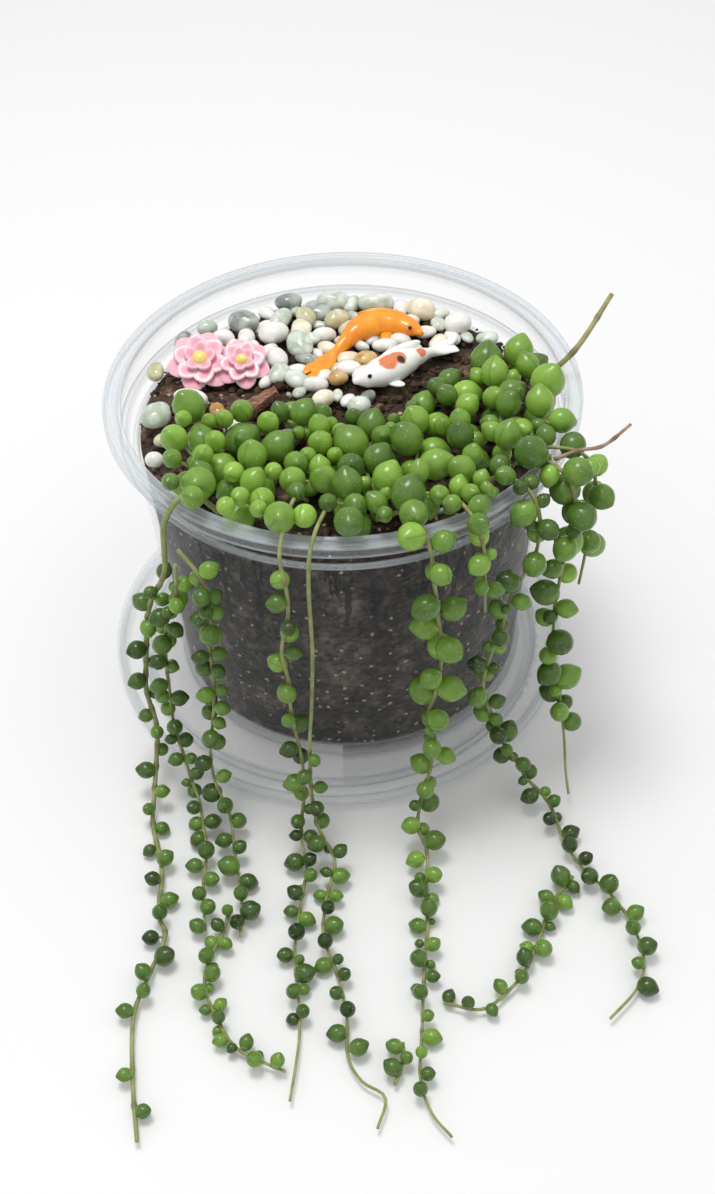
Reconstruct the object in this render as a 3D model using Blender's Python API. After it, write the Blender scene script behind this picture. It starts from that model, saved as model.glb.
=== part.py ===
# A string-of-pearls plant in a clear tapered plastic pot, standing in a clear lid used as its saucer.
# The pot's axis is the Z axis, the floor is Z = 0, and the trailing side of the plant faces -Y.
import math
import random

import bmesh
import bpy
from mathutils import Matrix, Vector

MM = 0.001

# Pot and saucer, in millimetres. Heights are measured from the floor.
RIM_RADIUS = 59.0
RIM_TOP = 88.0
SKIRT_DEPTH = 3.0
MOUTH_RADIUS = 54.4
LEDGE_TOP = 79.4
LEDGE_STEP = 2.8
BODY_TOP_RADIUS = 52.6
BASE_RADIUS = 48.0
FOOT_WIDTH = 4.0
FOOT_DEPTH = 1.5
WALL = 1.2
SAUCER_RADIUS = 63.1
SAUCER_EDGE = 4.6
SAUCER_WELL_RADIUS = 55.8
SAUCER_FLOOR = 1.2
SAUCER_SHIFT = (-3.3, -1.3)
GAP = 0.3
TURN_STEPS = 40

# Soil and what lies on it.
SOIL_TOP = 78.0
SOIL_RELIEF = 1.6
PEBBLE_SIDES = 8
KOI_SIDES = 8
BARK_SIZE = (10.0, 4.6, 2.6)
BARK_PLACE = (-20.6, 3.6, 80.6)
BARK_TURN = (0, -14, 34)
BLOSSOM_RADIUS = 8.2
BLOSSOM_THICKNESS = 5.0
BLOSSOM_MIDDLE = 0.3

# Plant.
STEM_RADIUS = 0.7
STEM_SIDES = 4
STEM_STEP = 8.0
CROWN_STEP = 5.0
PEARL_SIDES = 5
PEARL_TIP = 1.12
PEARL_SINK = 0.25
PEARL_TRIES = 24
PEARL_FULL_TRIES = 12
PEARL_SMALLER = 0.8
TIP_RADIUS = 0.4
FLOOR_CLEARANCE = 0.1
GOLDEN_ANGLE = math.radians(137.5)
SEED = 7

# How much room the pearls leave round what is already in place.
STEM_ROOM = 0.5
KOI_ROOM = 4.0
ROOM_STEP = 1.5


def clear_scene():
    for thing in list(bpy.data.objects):
        bpy.data.objects.remove(thing, do_unlink=True)


def surface(name, colour, roughness, alpha=1.0, transmission=0.0):
    material = bpy.data.materials.new(name)
    material.use_nodes = True
    shader = material.node_tree.nodes["Principled BSDF"]
    shader.inputs["Base Color"].default_value = (*colour, 1.0)
    shader.inputs["Roughness"].default_value = roughness
    shader.inputs["Metallic"].default_value = 0.0
    shader.inputs["Alpha"].default_value = alpha
    shader.inputs["Transmission Weight"].default_value = transmission
    return material


def place(bm, name, material, at=(0.0, 0.0, 0.0), turn=(0.0, 0.0, 0.0)):
    bmesh.ops.recalc_face_normals(bm, faces=bm.faces)
    bmesh.ops.scale(bm, vec=(MM, MM, MM), verts=bm.verts)
    mesh = bpy.data.meshes.new(name)
    bm.to_mesh(mesh)
    bm.free()
    mesh.shade_smooth()
    mesh.materials.append(material)
    thing = bpy.data.objects.new(name, mesh)
    thing.location = Vector(at) * MM
    thing.rotation_euler = [math.radians(angle) for angle in turn]
    bpy.context.scene.collection.objects.link(thing)
    return thing


def union(thing, other):
    other.hide_render = True
    other.display_type = "WIRE"
    joint = thing.modifiers.new("union", "BOOLEAN")
    joint.operation = "UNION"
    joint.solver = "EXACT"
    joint.object = other


# A turned solid: the outline runs from the axis round to the axis again.
def turned(outline, steps=TURN_STEPS):
    bm = bmesh.new()
    verts = [bm.verts.new((radius, 0.0, height)) for radius, height in outline]
    edges = [bm.edges.new(pair) for pair in zip(verts, verts[1:])]
    bmesh.ops.spin(
        bm, geom=verts + edges, axis=(0, 0, 1), cent=(0, 0, 0), angle=math.tau, steps=steps, use_merge=True
    )
    bmesh.ops.remove_doubles(bm, verts=bm.verts, dist=0.001)
    return bm


# A skin of rings of equal length, closed by a point or a face at each end.
def skinned(bm, rings, start=None, end=None):
    loops = [[bm.verts.new(point) for point in ring] for ring in rings]
    for near, far in zip(loops, loops[1:]):
        for i, vert in enumerate(near):
            j = (i + 1) % len(near)
            bm.faces.new((vert, near[j], far[j], far[i]))
    for loop, tip in ((loops[0], start), (loops[-1], end)):
        if tip is None:
            bm.faces.new(loop)
            continue
        point = bm.verts.new(tip)
        for i, vert in enumerate(loop):
            bm.faces.new((vert, loop[(i + 1) % len(loop)], point))


def make_pot(plastic):
    inner_top = BODY_TOP_RADIUS - WALL
    ledge_bottom = LEDGE_TOP - LEDGE_STEP
    ledge_radius = MOUTH_RADIUS + WALL
    skirt = RIM_TOP - SKIRT_DEPTH
    under_rim = RIM_TOP - WALL
    foot = SAUCER_FLOOR + GAP
    outline = [
        (0.0, foot + FOOT_DEPTH + WALL),
        (BASE_RADIUS - WALL, foot + FOOT_DEPTH + WALL),
        (inner_top, ledge_bottom),
        (MOUTH_RADIUS, LEDGE_TOP),
        (MOUTH_RADIUS, RIM_TOP),
        (RIM_RADIUS, RIM_TOP),
        (RIM_RADIUS, skirt),
        (RIM_RADIUS - WALL, skirt),
        (RIM_RADIUS - WALL, under_rim),
        (ledge_radius, under_rim),
        (ledge_radius, LEDGE_TOP - WALL),
        (BODY_TOP_RADIUS, ledge_bottom - WALL),
        (BASE_RADIUS, foot),
        (BASE_RADIUS - FOOT_WIDTH, foot),
        (BASE_RADIUS - FOOT_WIDTH, foot + FOOT_DEPTH),
        (0.0, foot + FOOT_DEPTH),
    ]
    return place(turned(outline), "pot", plastic)


def make_saucer(plastic):
    shelf = SAUCER_EDGE - WALL
    outline = [
        (0.0, SAUCER_FLOOR),
        (SAUCER_WELL_RADIUS - WALL, SAUCER_FLOOR),
        (SAUCER_WELL_RADIUS, shelf),
        (SAUCER_RADIUS - WALL, shelf),
        (SAUCER_RADIUS - WALL, SAUCER_EDGE),
        (SAUCER_RADIUS, SAUCER_EDGE),
        (SAUCER_RADIUS, shelf - WALL),
        (SAUCER_WELL_RADIUS + WALL, shelf - WALL),
        (SAUCER_WELL_RADIUS, 0.0),
        (0.0, 0.0),
    ]
    return place(turned(outline), "saucer", plastic, at=(*SAUCER_SHIFT, 0.0))


def make_soil(earth):
    floor = SAUCER_FLOOR + FOOT_DEPTH + WALL + 2.0 * GAP
    side_top = SOIL_TOP - SOIL_RELIEF
    top_radius = BODY_TOP_RADIUS - WALL - GAP - 0.1
    rings = 4
    outline = [(0.0, side_top + 0.5 * SOIL_RELIEF)]
    outline += [(top_radius * i / rings, side_top) for i in range(1, rings + 1)]
    outline += [(BASE_RADIUS - WALL - GAP, floor), (0.0, floor)]
    bm = turned(outline)
    for vert in bm.verts:
        radius = vert.co.xy.length
        if 1.0 < radius < top_radius - 1.0 and vert.co.z > side_top - 1.0:
            angle = math.atan2(vert.co.y, vert.co.x)
            swell = 0.5 + 0.5 * math.sin(3.0 * angle + 0.21 * radius)
            vert.co.z = side_top + SOIL_RELIEF * swell
    return place(bm, "soil", earth)


# One blossom of the ornament: a fluted dish of five petals with a round middle.
def blossom(radius, thickness, middle):
    sides = 20
    bm = bmesh.new()
    rings = []
    for scale, height in ((0.72, 0.0), (1.0, 0.45), (0.86, 0.95), (middle, 0.8), (middle * 0.8, 1.25)):
        flute = 0.16 if scale > middle else 0.0
        ring = []
        for i in range(sides):
            angle = math.tau * i / sides
            reach = radius * scale * (1.0 + flute * math.cos(5.0 * angle))
            ring.append((reach * math.cos(angle), reach * math.sin(angle), height * thickness))
        rings.append(ring)
    skinned(bm, rings)
    return bm


def make_blossoms(pink):
    large = blossom(BLOSSOM_RADIUS, BLOSSOM_THICKNESS, BLOSSOM_MIDDLE)
    large = place(large, "blossoms", pink, at=(-36.5, 18, 81.8), turn=(24, 0, 12))
    small = blossom(0.8 * BLOSSOM_RADIUS, BLOSSOM_THICKNESS, BLOSSOM_MIDDLE)
    small = place(small, "blossom_small", pink, at=(-25.6, 16.4, 81.4), turn=(24, 4, 40))
    union(large, small)
    return large


# A fish lofted through oval sections along a curved back, from the nose to the tail fin.
def make_koi(name, paint, spine, sections):
    bm = bmesh.new()
    path = [Vector(point) for point in spine]
    rings = []
    for i, (half_width, half_height) in enumerate(sections):
        ahead = path[min(i + 1, len(path) - 1)] - path[max(i - 1, 0)]
        across = Vector((-ahead.y, ahead.x, 0.0)).normalized()
        ring = []
        for k in range(KOI_SIDES):
            angle = math.tau * k / KOI_SIDES
            lift = Vector((0.0, 0.0, half_height * math.sin(angle)))
            ring.append(path[i] + across * (half_width * math.cos(angle)) + lift)
        rings.append(ring)
    skinned(bm, rings)
    return place(bm, name, paint)


# Half width and half height from the nose to the tail fin.
KOI_SECTIONS = [
    (0.7, 0.6), (2.6, 2.0), (3.6, 2.9), (3.8, 3.1),
    (3.0, 2.7), (1.9, 2.0), (1.1, 1.3), (2.9, 0.8), (3.6, 0.5),
]
ORANGE_SPINE = [
    (21.5, 27.5, 82.2), (18.5, 30.5, 82.2), (14.5, 32.8, 82.2), (9.5, 33.2, 82.4), (5.0, 30.5, 82.3),
    (1.2, 26.0, 81.6), (-2.2, 21.6, 80.8), (-5.0, 18.4, 80.2), (-8.0, 15.6, 79.8),
]
WHITE_SPINE = [
    (2.6, 8.5, 82.0), (5.2, 9.6, 82.0), (9.0, 11.4, 82.0), (13.2, 13.8, 82.2), (17.4, 16.6, 82.2),
    (21.0, 19.2, 81.6), (24.0, 21.4, 81.0), (26.6, 23.4, 80.6), (29.2, 25.2, 80.4),
]


def make_pebble(name, stone, x, y, length, width, height, turn):
    bm = bmesh.new()
    rings = []
    for level in (-0.62, 0.0, 0.62):
        reach = math.sqrt(1.0 - level * level)
        ring = []
        for k in range(PEBBLE_SIDES):
            angle = math.tau * k / PEBBLE_SIDES
            egg = 1.0 - 0.1 * math.cos(angle)
            ring.append((
                0.5 * length * reach * math.cos(angle),
                0.5 * width * reach * egg * math.sin(angle),
                0.5 * height * level,
            ))
        rings.append(ring)
    skinned(bm, rings, start=(0.0, 0.0, -0.5 * height), end=(0.0, 0.0, 0.5 * height))
    return place(bm, name, stone, at=(x, y, SOIL_TOP + GAP + 0.5 * height), turn=(0, 0, turn))


# Stone colour, x, y, length, width, height, turn.
PEBBLES = [
    ("grey", -13.8, 46.2, 8.0, 5.6, 5.0, 10), ("jade", -1.6, 45.2, 10.2, 7.0, 6.0, 0),
    ("olive", -9.2, 38.6, 7.4, 5.4, 5.6, 120), ("olive", -0.8, 37.2, 8.4, 5.6, 5.6, 30),
    ("grey", -25.8, 37.0, 9.2, 7.8, 6.0, 160), ("jade", -35.4, 35.6, 6.2, 5.4, 4.8, 20),
    ("grey", -41.6, 30.8, 6.2, 4.2, 4.4, 60), ("white", -17.6, 31.4, 8.2, 7.4, 6.4, 0),
    ("white", -31.0, 30.2, 7.2, 5.8, 5.8, 0), ("jade", -10.8, 26.4, 11.0, 7.2, 6.0, 110),
    ("white", -16.6, 20.6, 8.4, 5.8, 5.6, 100), ("white", -4.0, 31.2, 7.4, 4.2, 4.2, 5),
    ("jade", -11.6, 12.6, 7.4, 5.6, 4.2, 130), ("white", -38.4, 6.2, 9.4, 5.4, 4.6, 160),
    ("olive", -48.0, 17.4, 7.0, 4.8, 4.0, 100), ("jade", -46.4, -1.4, 9.8, 7.6, 6.0, 70),
    ("olive", -43.8, -9.8, 7.0, 4.2, 3.6, 20), ("white", -46.0, -17.0, 5.2, 4.4, 4.0, 0),
    ("amber", -31.6, 1.0, 6.0, 4.2, 3.8, 100), ("white", -27.4, -6.0, 5.8, 4.6, 4.0, 60),
    ("jade", 9.8, 43.8, 10.8, 7.2, 6.0, 0), ("cream", 21.8, 39.6, 8.6, 7.6, 6.4, 150),
    ("white", 31.2, 33.4, 8.2, 7.2, 5.6, 30), ("amber", 6.2, 20.0, 6.6, 5.6, 4.2, 30),
    ("amber", -1.0, 12.4, 6.4, 4.8, 4.0, 0), ("jade", 4.0, 0.6, 7.2, 5.6, 4.6, 20),
    ("cream", -4.8, 4.0, 7.4, 5.2, 4.4, 40), ("grey", -14.2, -11.4, 7.8, 6.2, 4.8, 0),
    ("jade", 38.6, 26.8, 6.8, 5.2, 4.4, 10),
]


def make_bark(bark):
    bm = bmesh.new()
    bmesh.ops.create_cube(bm, size=1.0, matrix=Matrix.Diagonal((*BARK_SIZE, 1.0)))
    end = [vert for vert in bm.verts if vert.co.x > 0.0]
    bmesh.ops.scale(bm, vec=(1.0, 0.55, 0.8), verts=end)
    bmesh.ops.bevel(bm, geom=bm.edges, offset=0.5, segments=1, affect="EDGES", profile=0.5)
    return place(bm, "bark_chip", bark, at=BARK_PLACE, turn=BARK_TURN)


# Points a fixed distance apart on a smooth curve through the given ones.
def smooth_route(points, step):
    marks = [Vector(point) for point in points]
    marks = [2.0 * marks[0] - marks[1]] + marks + [2.0 * marks[-1] - marks[-2]]
    fine = []
    for a, b, c, d in zip(marks, marks[1:], marks[2:], marks[3:]):
        for i in range(10):
            t = i / 10.0
            fine.append(
                0.5 * (2.0 * b + (c - a) * t + (2.0 * a - 5.0 * b + 4.0 * c - d) * t * t
                       + (3.0 * b - a - 3.0 * c + d) * t * t * t)
            )
    fine.append(marks[-2])
    lengths = [0.0]
    for a, b in zip(fine, fine[1:]):
        lengths.append(lengths[-1] + (b - a).length)
    count = max(2, round(lengths[-1] / step))
    route = []
    k = 0
    for i in range(count + 1):
        goal = lengths[-1] * i / count
        while k < len(fine) - 2 and lengths[k + 1] < goal:
            k += 1
        share = (goal - lengths[k]) / (lengths[k + 1] - lengths[k])
        route.append(fine[k].lerp(fine[k + 1], min(share, 1.0)))
    return route


def frame_across(ahead):
    side = ahead.cross(Vector((0.0, 0.0, 1.0)))
    if side.length < 0.05:
        side = ahead.cross(Vector((1.0, 0.0, 0.0)))
    side.normalize()
    return side, side.cross(ahead).normalized()


def stem_mesh(route, radius):
    bm = bmesh.new()
    side, lift = frame_across((route[1] - route[0]).normalized())
    rings = []
    for i, point in enumerate(route):
        ahead = (route[min(i + 1, len(route) - 1)] - route[max(i - 1, 0)]).normalized()
        side = (side - ahead * side.dot(ahead)).normalized()
        lift = side.cross(ahead)
        ring = []
        for k in range(STEM_SIDES):
            angle = math.tau * k / STEM_SIDES
            ring.append(point + radius * (side * math.cos(angle) + lift * math.sin(angle)))
        rings.append(ring)
    skinned(bm, rings)
    return bm


# A pearl: a round leaf that ends in a small point.
def add_pearl(bm, centre, ahead, radius):
    side, lift = frame_across(ahead)
    rings = []
    for level in (-0.45, 0.45):
        reach = radius * math.sqrt(1.0 - level * level)
        ring = []
        for k in range(PEARL_SIDES):
            angle = math.tau * (k + 0.5 * (level > 0)) / PEARL_SIDES
            across = side * math.cos(angle) + lift * math.sin(angle)
            ring.append(centre + ahead * (level * radius) + across * reach)
        rings.append(ring)
    skinned(bm, rings, start=centre - ahead * radius, end=centre + ahead * (radius * PEARL_TIP))


# Strand name, points that the stem runs through, first and last distance with pearls on it,
# spacing of the pearls, their radius at the first and at the last.
TRAILING = [
    ("strand_a1", [
        (-29, -38.5, 81), (-33.5, -40, 88), (-37, -43.5, 91.4),
        (-41, -47, 87), (-42, -47.5, 78), (-43, -46.5, 70),
        (-48, -42.5, 57), (-50, -41, 48), (-52, -40.5, 34),
        (-53, -42, 24), (-51, -47, 16), (-51.5, -53, 9),
        (-52, -61, 5), (-52, -69, 3), (-49, -82, 2.5),
        (-49, -95, 2.3), (-47, -101, 2.3), (-50, -111, 2.3),
        (-53, -122, 2.3), (-52, -138, 2.3), (-50, -152, 2.3),
    ], 40, 176, 5.2, 2.2, 2.1),
    ("strand_a2", [
        (-39.5, -50.5, 77), (-40.5, -50, 66), (-44, -47.5, 55), (-45.5, -46.5, 45), (-46, -46.5, 38),
        (-46, -48, 30), (-46, -50, 23), (-44, -55, 15), (-42, -60, 10), (-40, -65, 7), (-39, -71, 4.5),
        (-38, -78, 2.8), (-38.5, -88, 2.4), (-37.5, -100, 2.3),
    ], 7, 118, 4.3, 2.2, 2.1),
    ("strand_a3", [
        (-38.4, -51, 82), (-36, -52, 79), (-33, -54, 74),
        (-33, -54.5, 65), (-34, -54.5, 58), (-33.5, -55.5, 50),
        (-34, -57, 36), (-36, -60, 22), (-35.5, -64, 14),
        (-32, -70, 7), (-31, -78, 3.6), (-29, -91, 2.4),
        (-29, -102, 2.3),
    ], 8, 112, 4.1, 2.3, 2.2),
    ("strand_a4", [
        (-31.5, -93.5, 2.5), (-33, -100, 2.3), (-36, -108, 2.3), (-37, -115, 2.3), (-34, -123, 2.3),
        (-30, -130, 2.3), (-25, -133.5, 2.3), (-18, -137, 2.3),
    ], 2, 50, 4.2, 2.1, 1.7),
    ("strand_b1", [
        (-9, -36, 82), (-11, -42, 89), (-12.5, -49, 92),
        (-14, -56, 92), (-15, -61, 88), (-14, -62.5, 80),
        (-14, -63, 72), (-16, -63.5, 61), (-15, -63.5, 50),
        (-15, -64, 41), (-14, -65, 31), (-13, -66.5, 22),
        (-13, -69, 14), (-14, -73, 8), (-14, -78, 5),
        (-13, -84, 3.2), (-15, -97, 2.4), (-16, -108, 2.3),
        (-15, -120, 2.3), (-15, -130, 2.3), (-17, -144, 2.3),
    ], 38, 165, 5.4, 2.2, 2.0),
    ("strand_b2", [
        (-5, -42, 84), (-5, -50, 91), (-7, -57, 91.8),
        (-8.5, -61, 88), (-9, -62.5, 80), (-9, -63.5, 70),
        (-9, -64, 60), (-10, -65, 42), (-11, -68, 30), (-11, -72, 17), (-9.5, -77, 9.5), (-6, -83, 5.5),
        (-7, -88, 3.5), (-8.5, -94, 2.5), (-9, -103, 2.3),
        (-6, -113, 2.3), (-4, -124, 2.3), (-4, -134, 2.3),
        (-1, -140, 2.3), (4, -144, 2.3), (2, -151, 2.3),
    ], 84, 164, 4.6, 2.1, 2.0),
    ("strand_b3", [(6.2, -141, 2.3), (8, -136.5, 2.3), (8.6, -131, 2.3)], 3, 9, 4.0, 1.9, 1.8),
    ("strand_c1", [
        (10, -44, 84), (13, -50.5, 91), (16, -56.5, 91.8),
        (18, -60.5, 88), (19, -61.5, 78), (20, -62, 67),
        (21, -62, 58), (20, -63, 46), (18, -64, 37), (19, -65.5, 27), (18.5, -67, 20), (16.5, -70, 13),
        (15, -75, 7.5), (17, -82, 4.5), (16, -93, 2.6),
        (16, -100, 2.3), (14.5, -112, 2.3), (13, -128, 2.3),
        (12, -140, 2.3), (14, -148, 2.3), (18, -153.5, 2.3),
    ], 8, 176, 4.7, 4.0, 1.9),
    ("strand_c2", [
        (23.5, -41.5, 85), (25, -48.5, 91.6), (28.3, -56, 91.8),
        (30, -58.6, 85), (30.5, -58, 75), (31, -57.5, 65),
    ], 7, 38, 4.0, 2.8, 2.3),
    ("strand_d1", [
        (31, -35, 84), (35.5, -40.5, 91.6), (41, -46.2, 91.6),
        (43.4, -49.2, 85), (42.5, -49.5, 73), (38.5, -51.5, 67),
        (37, -52.5, 61), (35, -55, 54), (32.5, -57.5, 48),
        (31.5, -58.5, 40), (34, -58.5, 29), (37, -59, 20),
        (41, -60.5, 12.5), (44, -63, 8.2), (48, -66.5, 5.2),
        (50, -71, 3.6), (51.5, -78, 2.8), (55, -86, 2.4),
        (61, -94, 2.3), (65, -103, 2.3), (66, -113, 2.3), (63, -120, 2.3), (56, -127, 2.3),
    ], 8, 172, 4.5, 2.7, 2.0),
    ("strand_d2", [
        (52.4, -88.5, 2.4), (46.5, -96, 2.3), (42, -106, 2.3), (38, -114, 2.3), (33, -119.5, 2.3),
        (27, -123.5, 2.3), (18.5, -121.5, 2.3),
    ], 3, 52, 4.8, 2.2, 1.6),
    ("strand_d3", [
        (39.5, -30.5, 86.5), (44, -35.5, 92.4), (50, -41.2, 91.4),
        (52.2, -43, 84), (51.8, -42, 74), (51, -41.5, 62), (50, -43, 52),
        (50, -44.5, 41), (51, -45.5, 31), (53, -48, 21), (54, -53, 12), (54, -59, 7), (54.2, -65, 4.6),
    ], 8, 96, 4.6, 3.3, 2.4),
    ("strand_d4", [
        (42, -28, 87.5), (47, -31, 91.6), (54.5, -33.6, 91.4),
        (58, -34, 84), (58, -33, 73), (58, -33.5, 62), (57, -34.5, 50),
    ], 7, 46, 5.0, 2.6, 2.8),
]
CROWN = [
    ("crown_1", [
        (-28, -14, 80), (-32, -21, 84), (-34.5, -28, 85.5), (-32, -33, 86),
    ], 0, 27, 4.2, 5.2, 3.7),
    ("crown_2", [
        (-18, -16, 80), (-20, -25, 84.5), (-24, -34, 86), (-21, -44, 87.5),
    ], 1, 33, 3.9, 4.2, 3.8),
    ("crown_3", [(-15, -3, 80), (-12, -10, 84), (-5, -16, 85)], 0, 17, 3.6, 2.6, 3.9),
    ("crown_4", [
        (-9, -24, 80), (-5, -33, 85), (-1, -41, 87.5), (2.5, -49, 90.4),
    ], 2, 30, 3.6, 3.0, 4.6),
    ("crown_5", [
        (5, -12, 80), (6, -21, 84.5), (5, -31, 86), (7, -40, 87.5), (9, -48, 89.8),
    ], 3, 42, 3.5, 4.4, 3.6),
    ("crown_6", [
        (17, -4, 80), (19, -14, 84.5), (17, -25, 86), (17, -35, 87), (17.5, -44, 90),
    ], 3, 43, 3.5, 4.0, 4.1),
    ("crown_7", [
        (24, 7, 80), (27, -3, 84.5), (29, -14, 86), (28, -26, 87), (29, -37, 88), (31.5, -47.5, 91.4),
    ], 3, 60, 3.4, 3.6, 3.5),
    ("crown_8", [
        (34, 12, 80), (37, 2, 84.5), (38, -10, 87), (37, -21, 88), (37, -30, 90),
    ], 3, 47, 3.5, 4.4, 3.4),
    ("crown_9", [
        (43, 15, 80), (46, 6, 85), (47, -6, 88), (46, -17, 90), (47.5, -24, 93),
    ], 3, 46, 3.6, 4.6, 4.0),
]


class Room:
    # Balls that stand for what is already in place, each with the name of what it belongs to.
    def __init__(self):
        self.balls = []

    def add(self, owner, centre, radius):
        self.balls.append((owner, centre, radius))

    def add_route(self, owner, points):
        for point in smooth_route(points, ROOM_STEP):
            self.add(owner, point, STEM_RADIUS + STEM_ROOM)

    def is_free(self, owner, centre, radius):
        if centre.z - radius < FLOOR_CLEARANCE:
            return False
        low = centre.z - radius
        out = centre.xy.length
        if low < SOIL_TOP + GAP and out < MOUTH_RADIUS:
            return False
        if low < RIM_TOP + GAP and distance_to_rim(centre) < radius + GAP:
            return False
        if centre.z < RIM_TOP and MOUTH_RADIUS <= out < side_radius(centre.z) + radius + GAP:
            return False
        from_saucer = (centre.xy - Vector(SAUCER_SHIFT)).length
        if low < SAUCER_EDGE + GAP and from_saucer < SAUCER_RADIUS + radius + GAP:
            return False
        for other, middle, reach in self.balls:
            if other != owner and (centre - middle).length < radius + reach + GAP:
                return False
        return True


def side_radius(height):
    if height > RIM_TOP - SKIRT_DEPTH:
        return RIM_RADIUS
    if height > LEDGE_TOP - LEDGE_STEP - WALL:
        return MOUTH_RADIUS + WALL
    return BASE_RADIUS + (BODY_TOP_RADIUS - BASE_RADIUS) * height / (LEDGE_TOP - LEDGE_STEP)


def distance_to_rim(point):
    out = point.xy.length
    across = max(MOUTH_RADIUS - out, 0.0, out - RIM_RADIUS)
    above = max(RIM_TOP - SKIRT_DEPTH - point.z, 0.0, point.z - RIM_TOP)
    return math.hypot(across, above)


# The point a given distance along a route, and the direction there.
def point_along(route, distance):
    for a, b in zip(route, route[1:]):
        length = (b - a).length
        if distance <= length:
            break
        distance -= length
    return a.lerp(b, min(max(distance / length, 0.0), 1.0)), (b - a).normalized()


# Pearls alternate round the stem by the golden angle, and take the first free direction.
def seat_pearls(room, chance, name, route, first, last, spacing, near_radius, far_radius):
    seats = []
    reach = 0.5 * (near_radius + far_radius)
    count = round((last - first) / spacing)
    turn = chance.uniform(0.0, math.tau)
    for i in range(count + 1):
        share = i / max(count, 1)
        radius = (near_radius + (far_radius - near_radius) * share) * chance.uniform(0.86, 1.1)
        along = first + (last - first) * share + chance.uniform(-0.25, 0.25) * reach
        foot, heading = point_along(route, along)
        side, lift = frame_across(heading)
        turn += GOLDEN_ANGLE
        for attempt in range(PEARL_TRIES):
            angle = turn + attempt * GOLDEN_ANGLE
            size = radius * (1.0 if attempt < PEARL_FULL_TRIES else PEARL_SMALLER)
            ahead = side * math.cos(angle) + lift * math.sin(angle)
            centre = foot + ahead * (size + PEARL_SINK)
            tip = centre + ahead * (size * PEARL_TIP)
            apart = all((centre - seat[0]).length > size + seat[2] + PEARL_SINK for seat in seats)
            if apart and room.is_free(name, centre, size) and room.is_free(name, tip, TIP_RADIUS):
                seats.append((centre, ahead, size))
                room.add(name, centre, size)
                room.add(name, tip, TIP_RADIUS)
                turn = angle
                break
    return seats


def make_strand(name, route, seats, stem_green, pearl_green):
    stem = place(stem_mesh(route, STEM_RADIUS), name, pearl_green)
    stem.data.materials.append(stem_green)
    if seats:
        bm = bmesh.new()
        for centre, ahead, radius in seats:
            add_pearl(bm, centre, ahead, radius)
        union(stem, place(bm, name + "_pearls", pearl_green))
    return stem


def main():
    clear_scene()
    plastic = surface("clear_plastic", (0.90, 0.92, 0.93), 0.12, alpha=0.35, transmission=0.9)
    earth = surface("potting_soil", (0.035, 0.024, 0.018), 0.95)
    pink = surface("pink_resin", (0.87, 0.33, 0.48), 0.3)
    orange = surface("orange_resin", (1.0, 0.32, 0.01), 0.25)
    white = surface("white_resin", (0.86, 0.84, 0.80), 0.3)
    bark = surface("bark", (0.26, 0.14, 0.09), 0.8)
    stem_green = surface("stem", (0.30, 0.36, 0.13), 0.55)
    pearl_green = surface("pearl_leaf", (0.13, 0.26, 0.07), 0.35)
    dry = surface("dry_stem", (0.33, 0.24, 0.13), 0.8)
    stones = {
        "grey": surface("grey_stone", (0.27, 0.30, 0.28), 0.2),
        "jade": surface("jade_stone", (0.56, 0.63, 0.54), 0.2),
        "olive": surface("olive_stone", (0.54, 0.52, 0.27), 0.2),
        "white": surface("white_stone", (0.84, 0.83, 0.79), 0.2),
        "amber": surface("amber_stone", (0.58, 0.36, 0.12), 0.2),
        "cream": surface("cream_stone", (0.82, 0.74, 0.56), 0.2),
    }
    make_pot(plastic)
    make_saucer(plastic)
    make_soil(earth)
    make_blossoms(pink)
    make_koi("orange_koi", orange, ORANGE_SPINE, KOI_SECTIONS)
    make_koi("white_koi", white, WHITE_SPINE, KOI_SECTIONS)
    for i, (stone, *numbers) in enumerate(PEBBLES):
        make_pebble("pebble_%02d" % (i + 1), stones[stone], *numbers)
    make_bark(bark)

    room = Room()
    for _, x, y, length, width, height, _ in PEBBLES:
        room.add("pebble", Vector((x, y, SOIL_TOP + GAP + 0.5 * height)), 0.5 * max(length, height))
    for point in ORANGE_SPINE + WHITE_SPINE:
        room.add("koi", Vector(point), KOI_ROOM)
    bare_stem = [(46.5, 2.6, 78.6), (50.5, 1.6, 86.5), (57.5, 1.0, 96), (66.5, 11, 104)]
    dry_twig = [(47.5, -36.5, 92.5), (53, -36, 94.5), (59, -34, 94), (66, -28, 95)]
    room.add_route("bare_stem", bare_stem)
    room.add_route("dry_twig", dry_twig)
    for strand in TRAILING + CROWN:
        room.add_route(strand[0], strand[1])
    chance = random.Random(SEED)
    for group, step in ((TRAILING, STEM_STEP), (CROWN, CROWN_STEP)):
        for name, points, *rule in group:
            route = smooth_route(points, step)
            seats = seat_pearls(room, chance, name, route, *rule)
            make_strand(name, route, seats, stem_green, pearl_green)
    make_strand("bare_stem", smooth_route(bare_stem, CROWN_STEP), [], stem_green, stem_green)
    make_strand("dry_twig", smooth_route(dry_twig, CROWN_STEP), [], dry, dry)


main()
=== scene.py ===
import math
import random

import bmesh
import bpy
from mathutils import Matrix, Vector, noise


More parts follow.
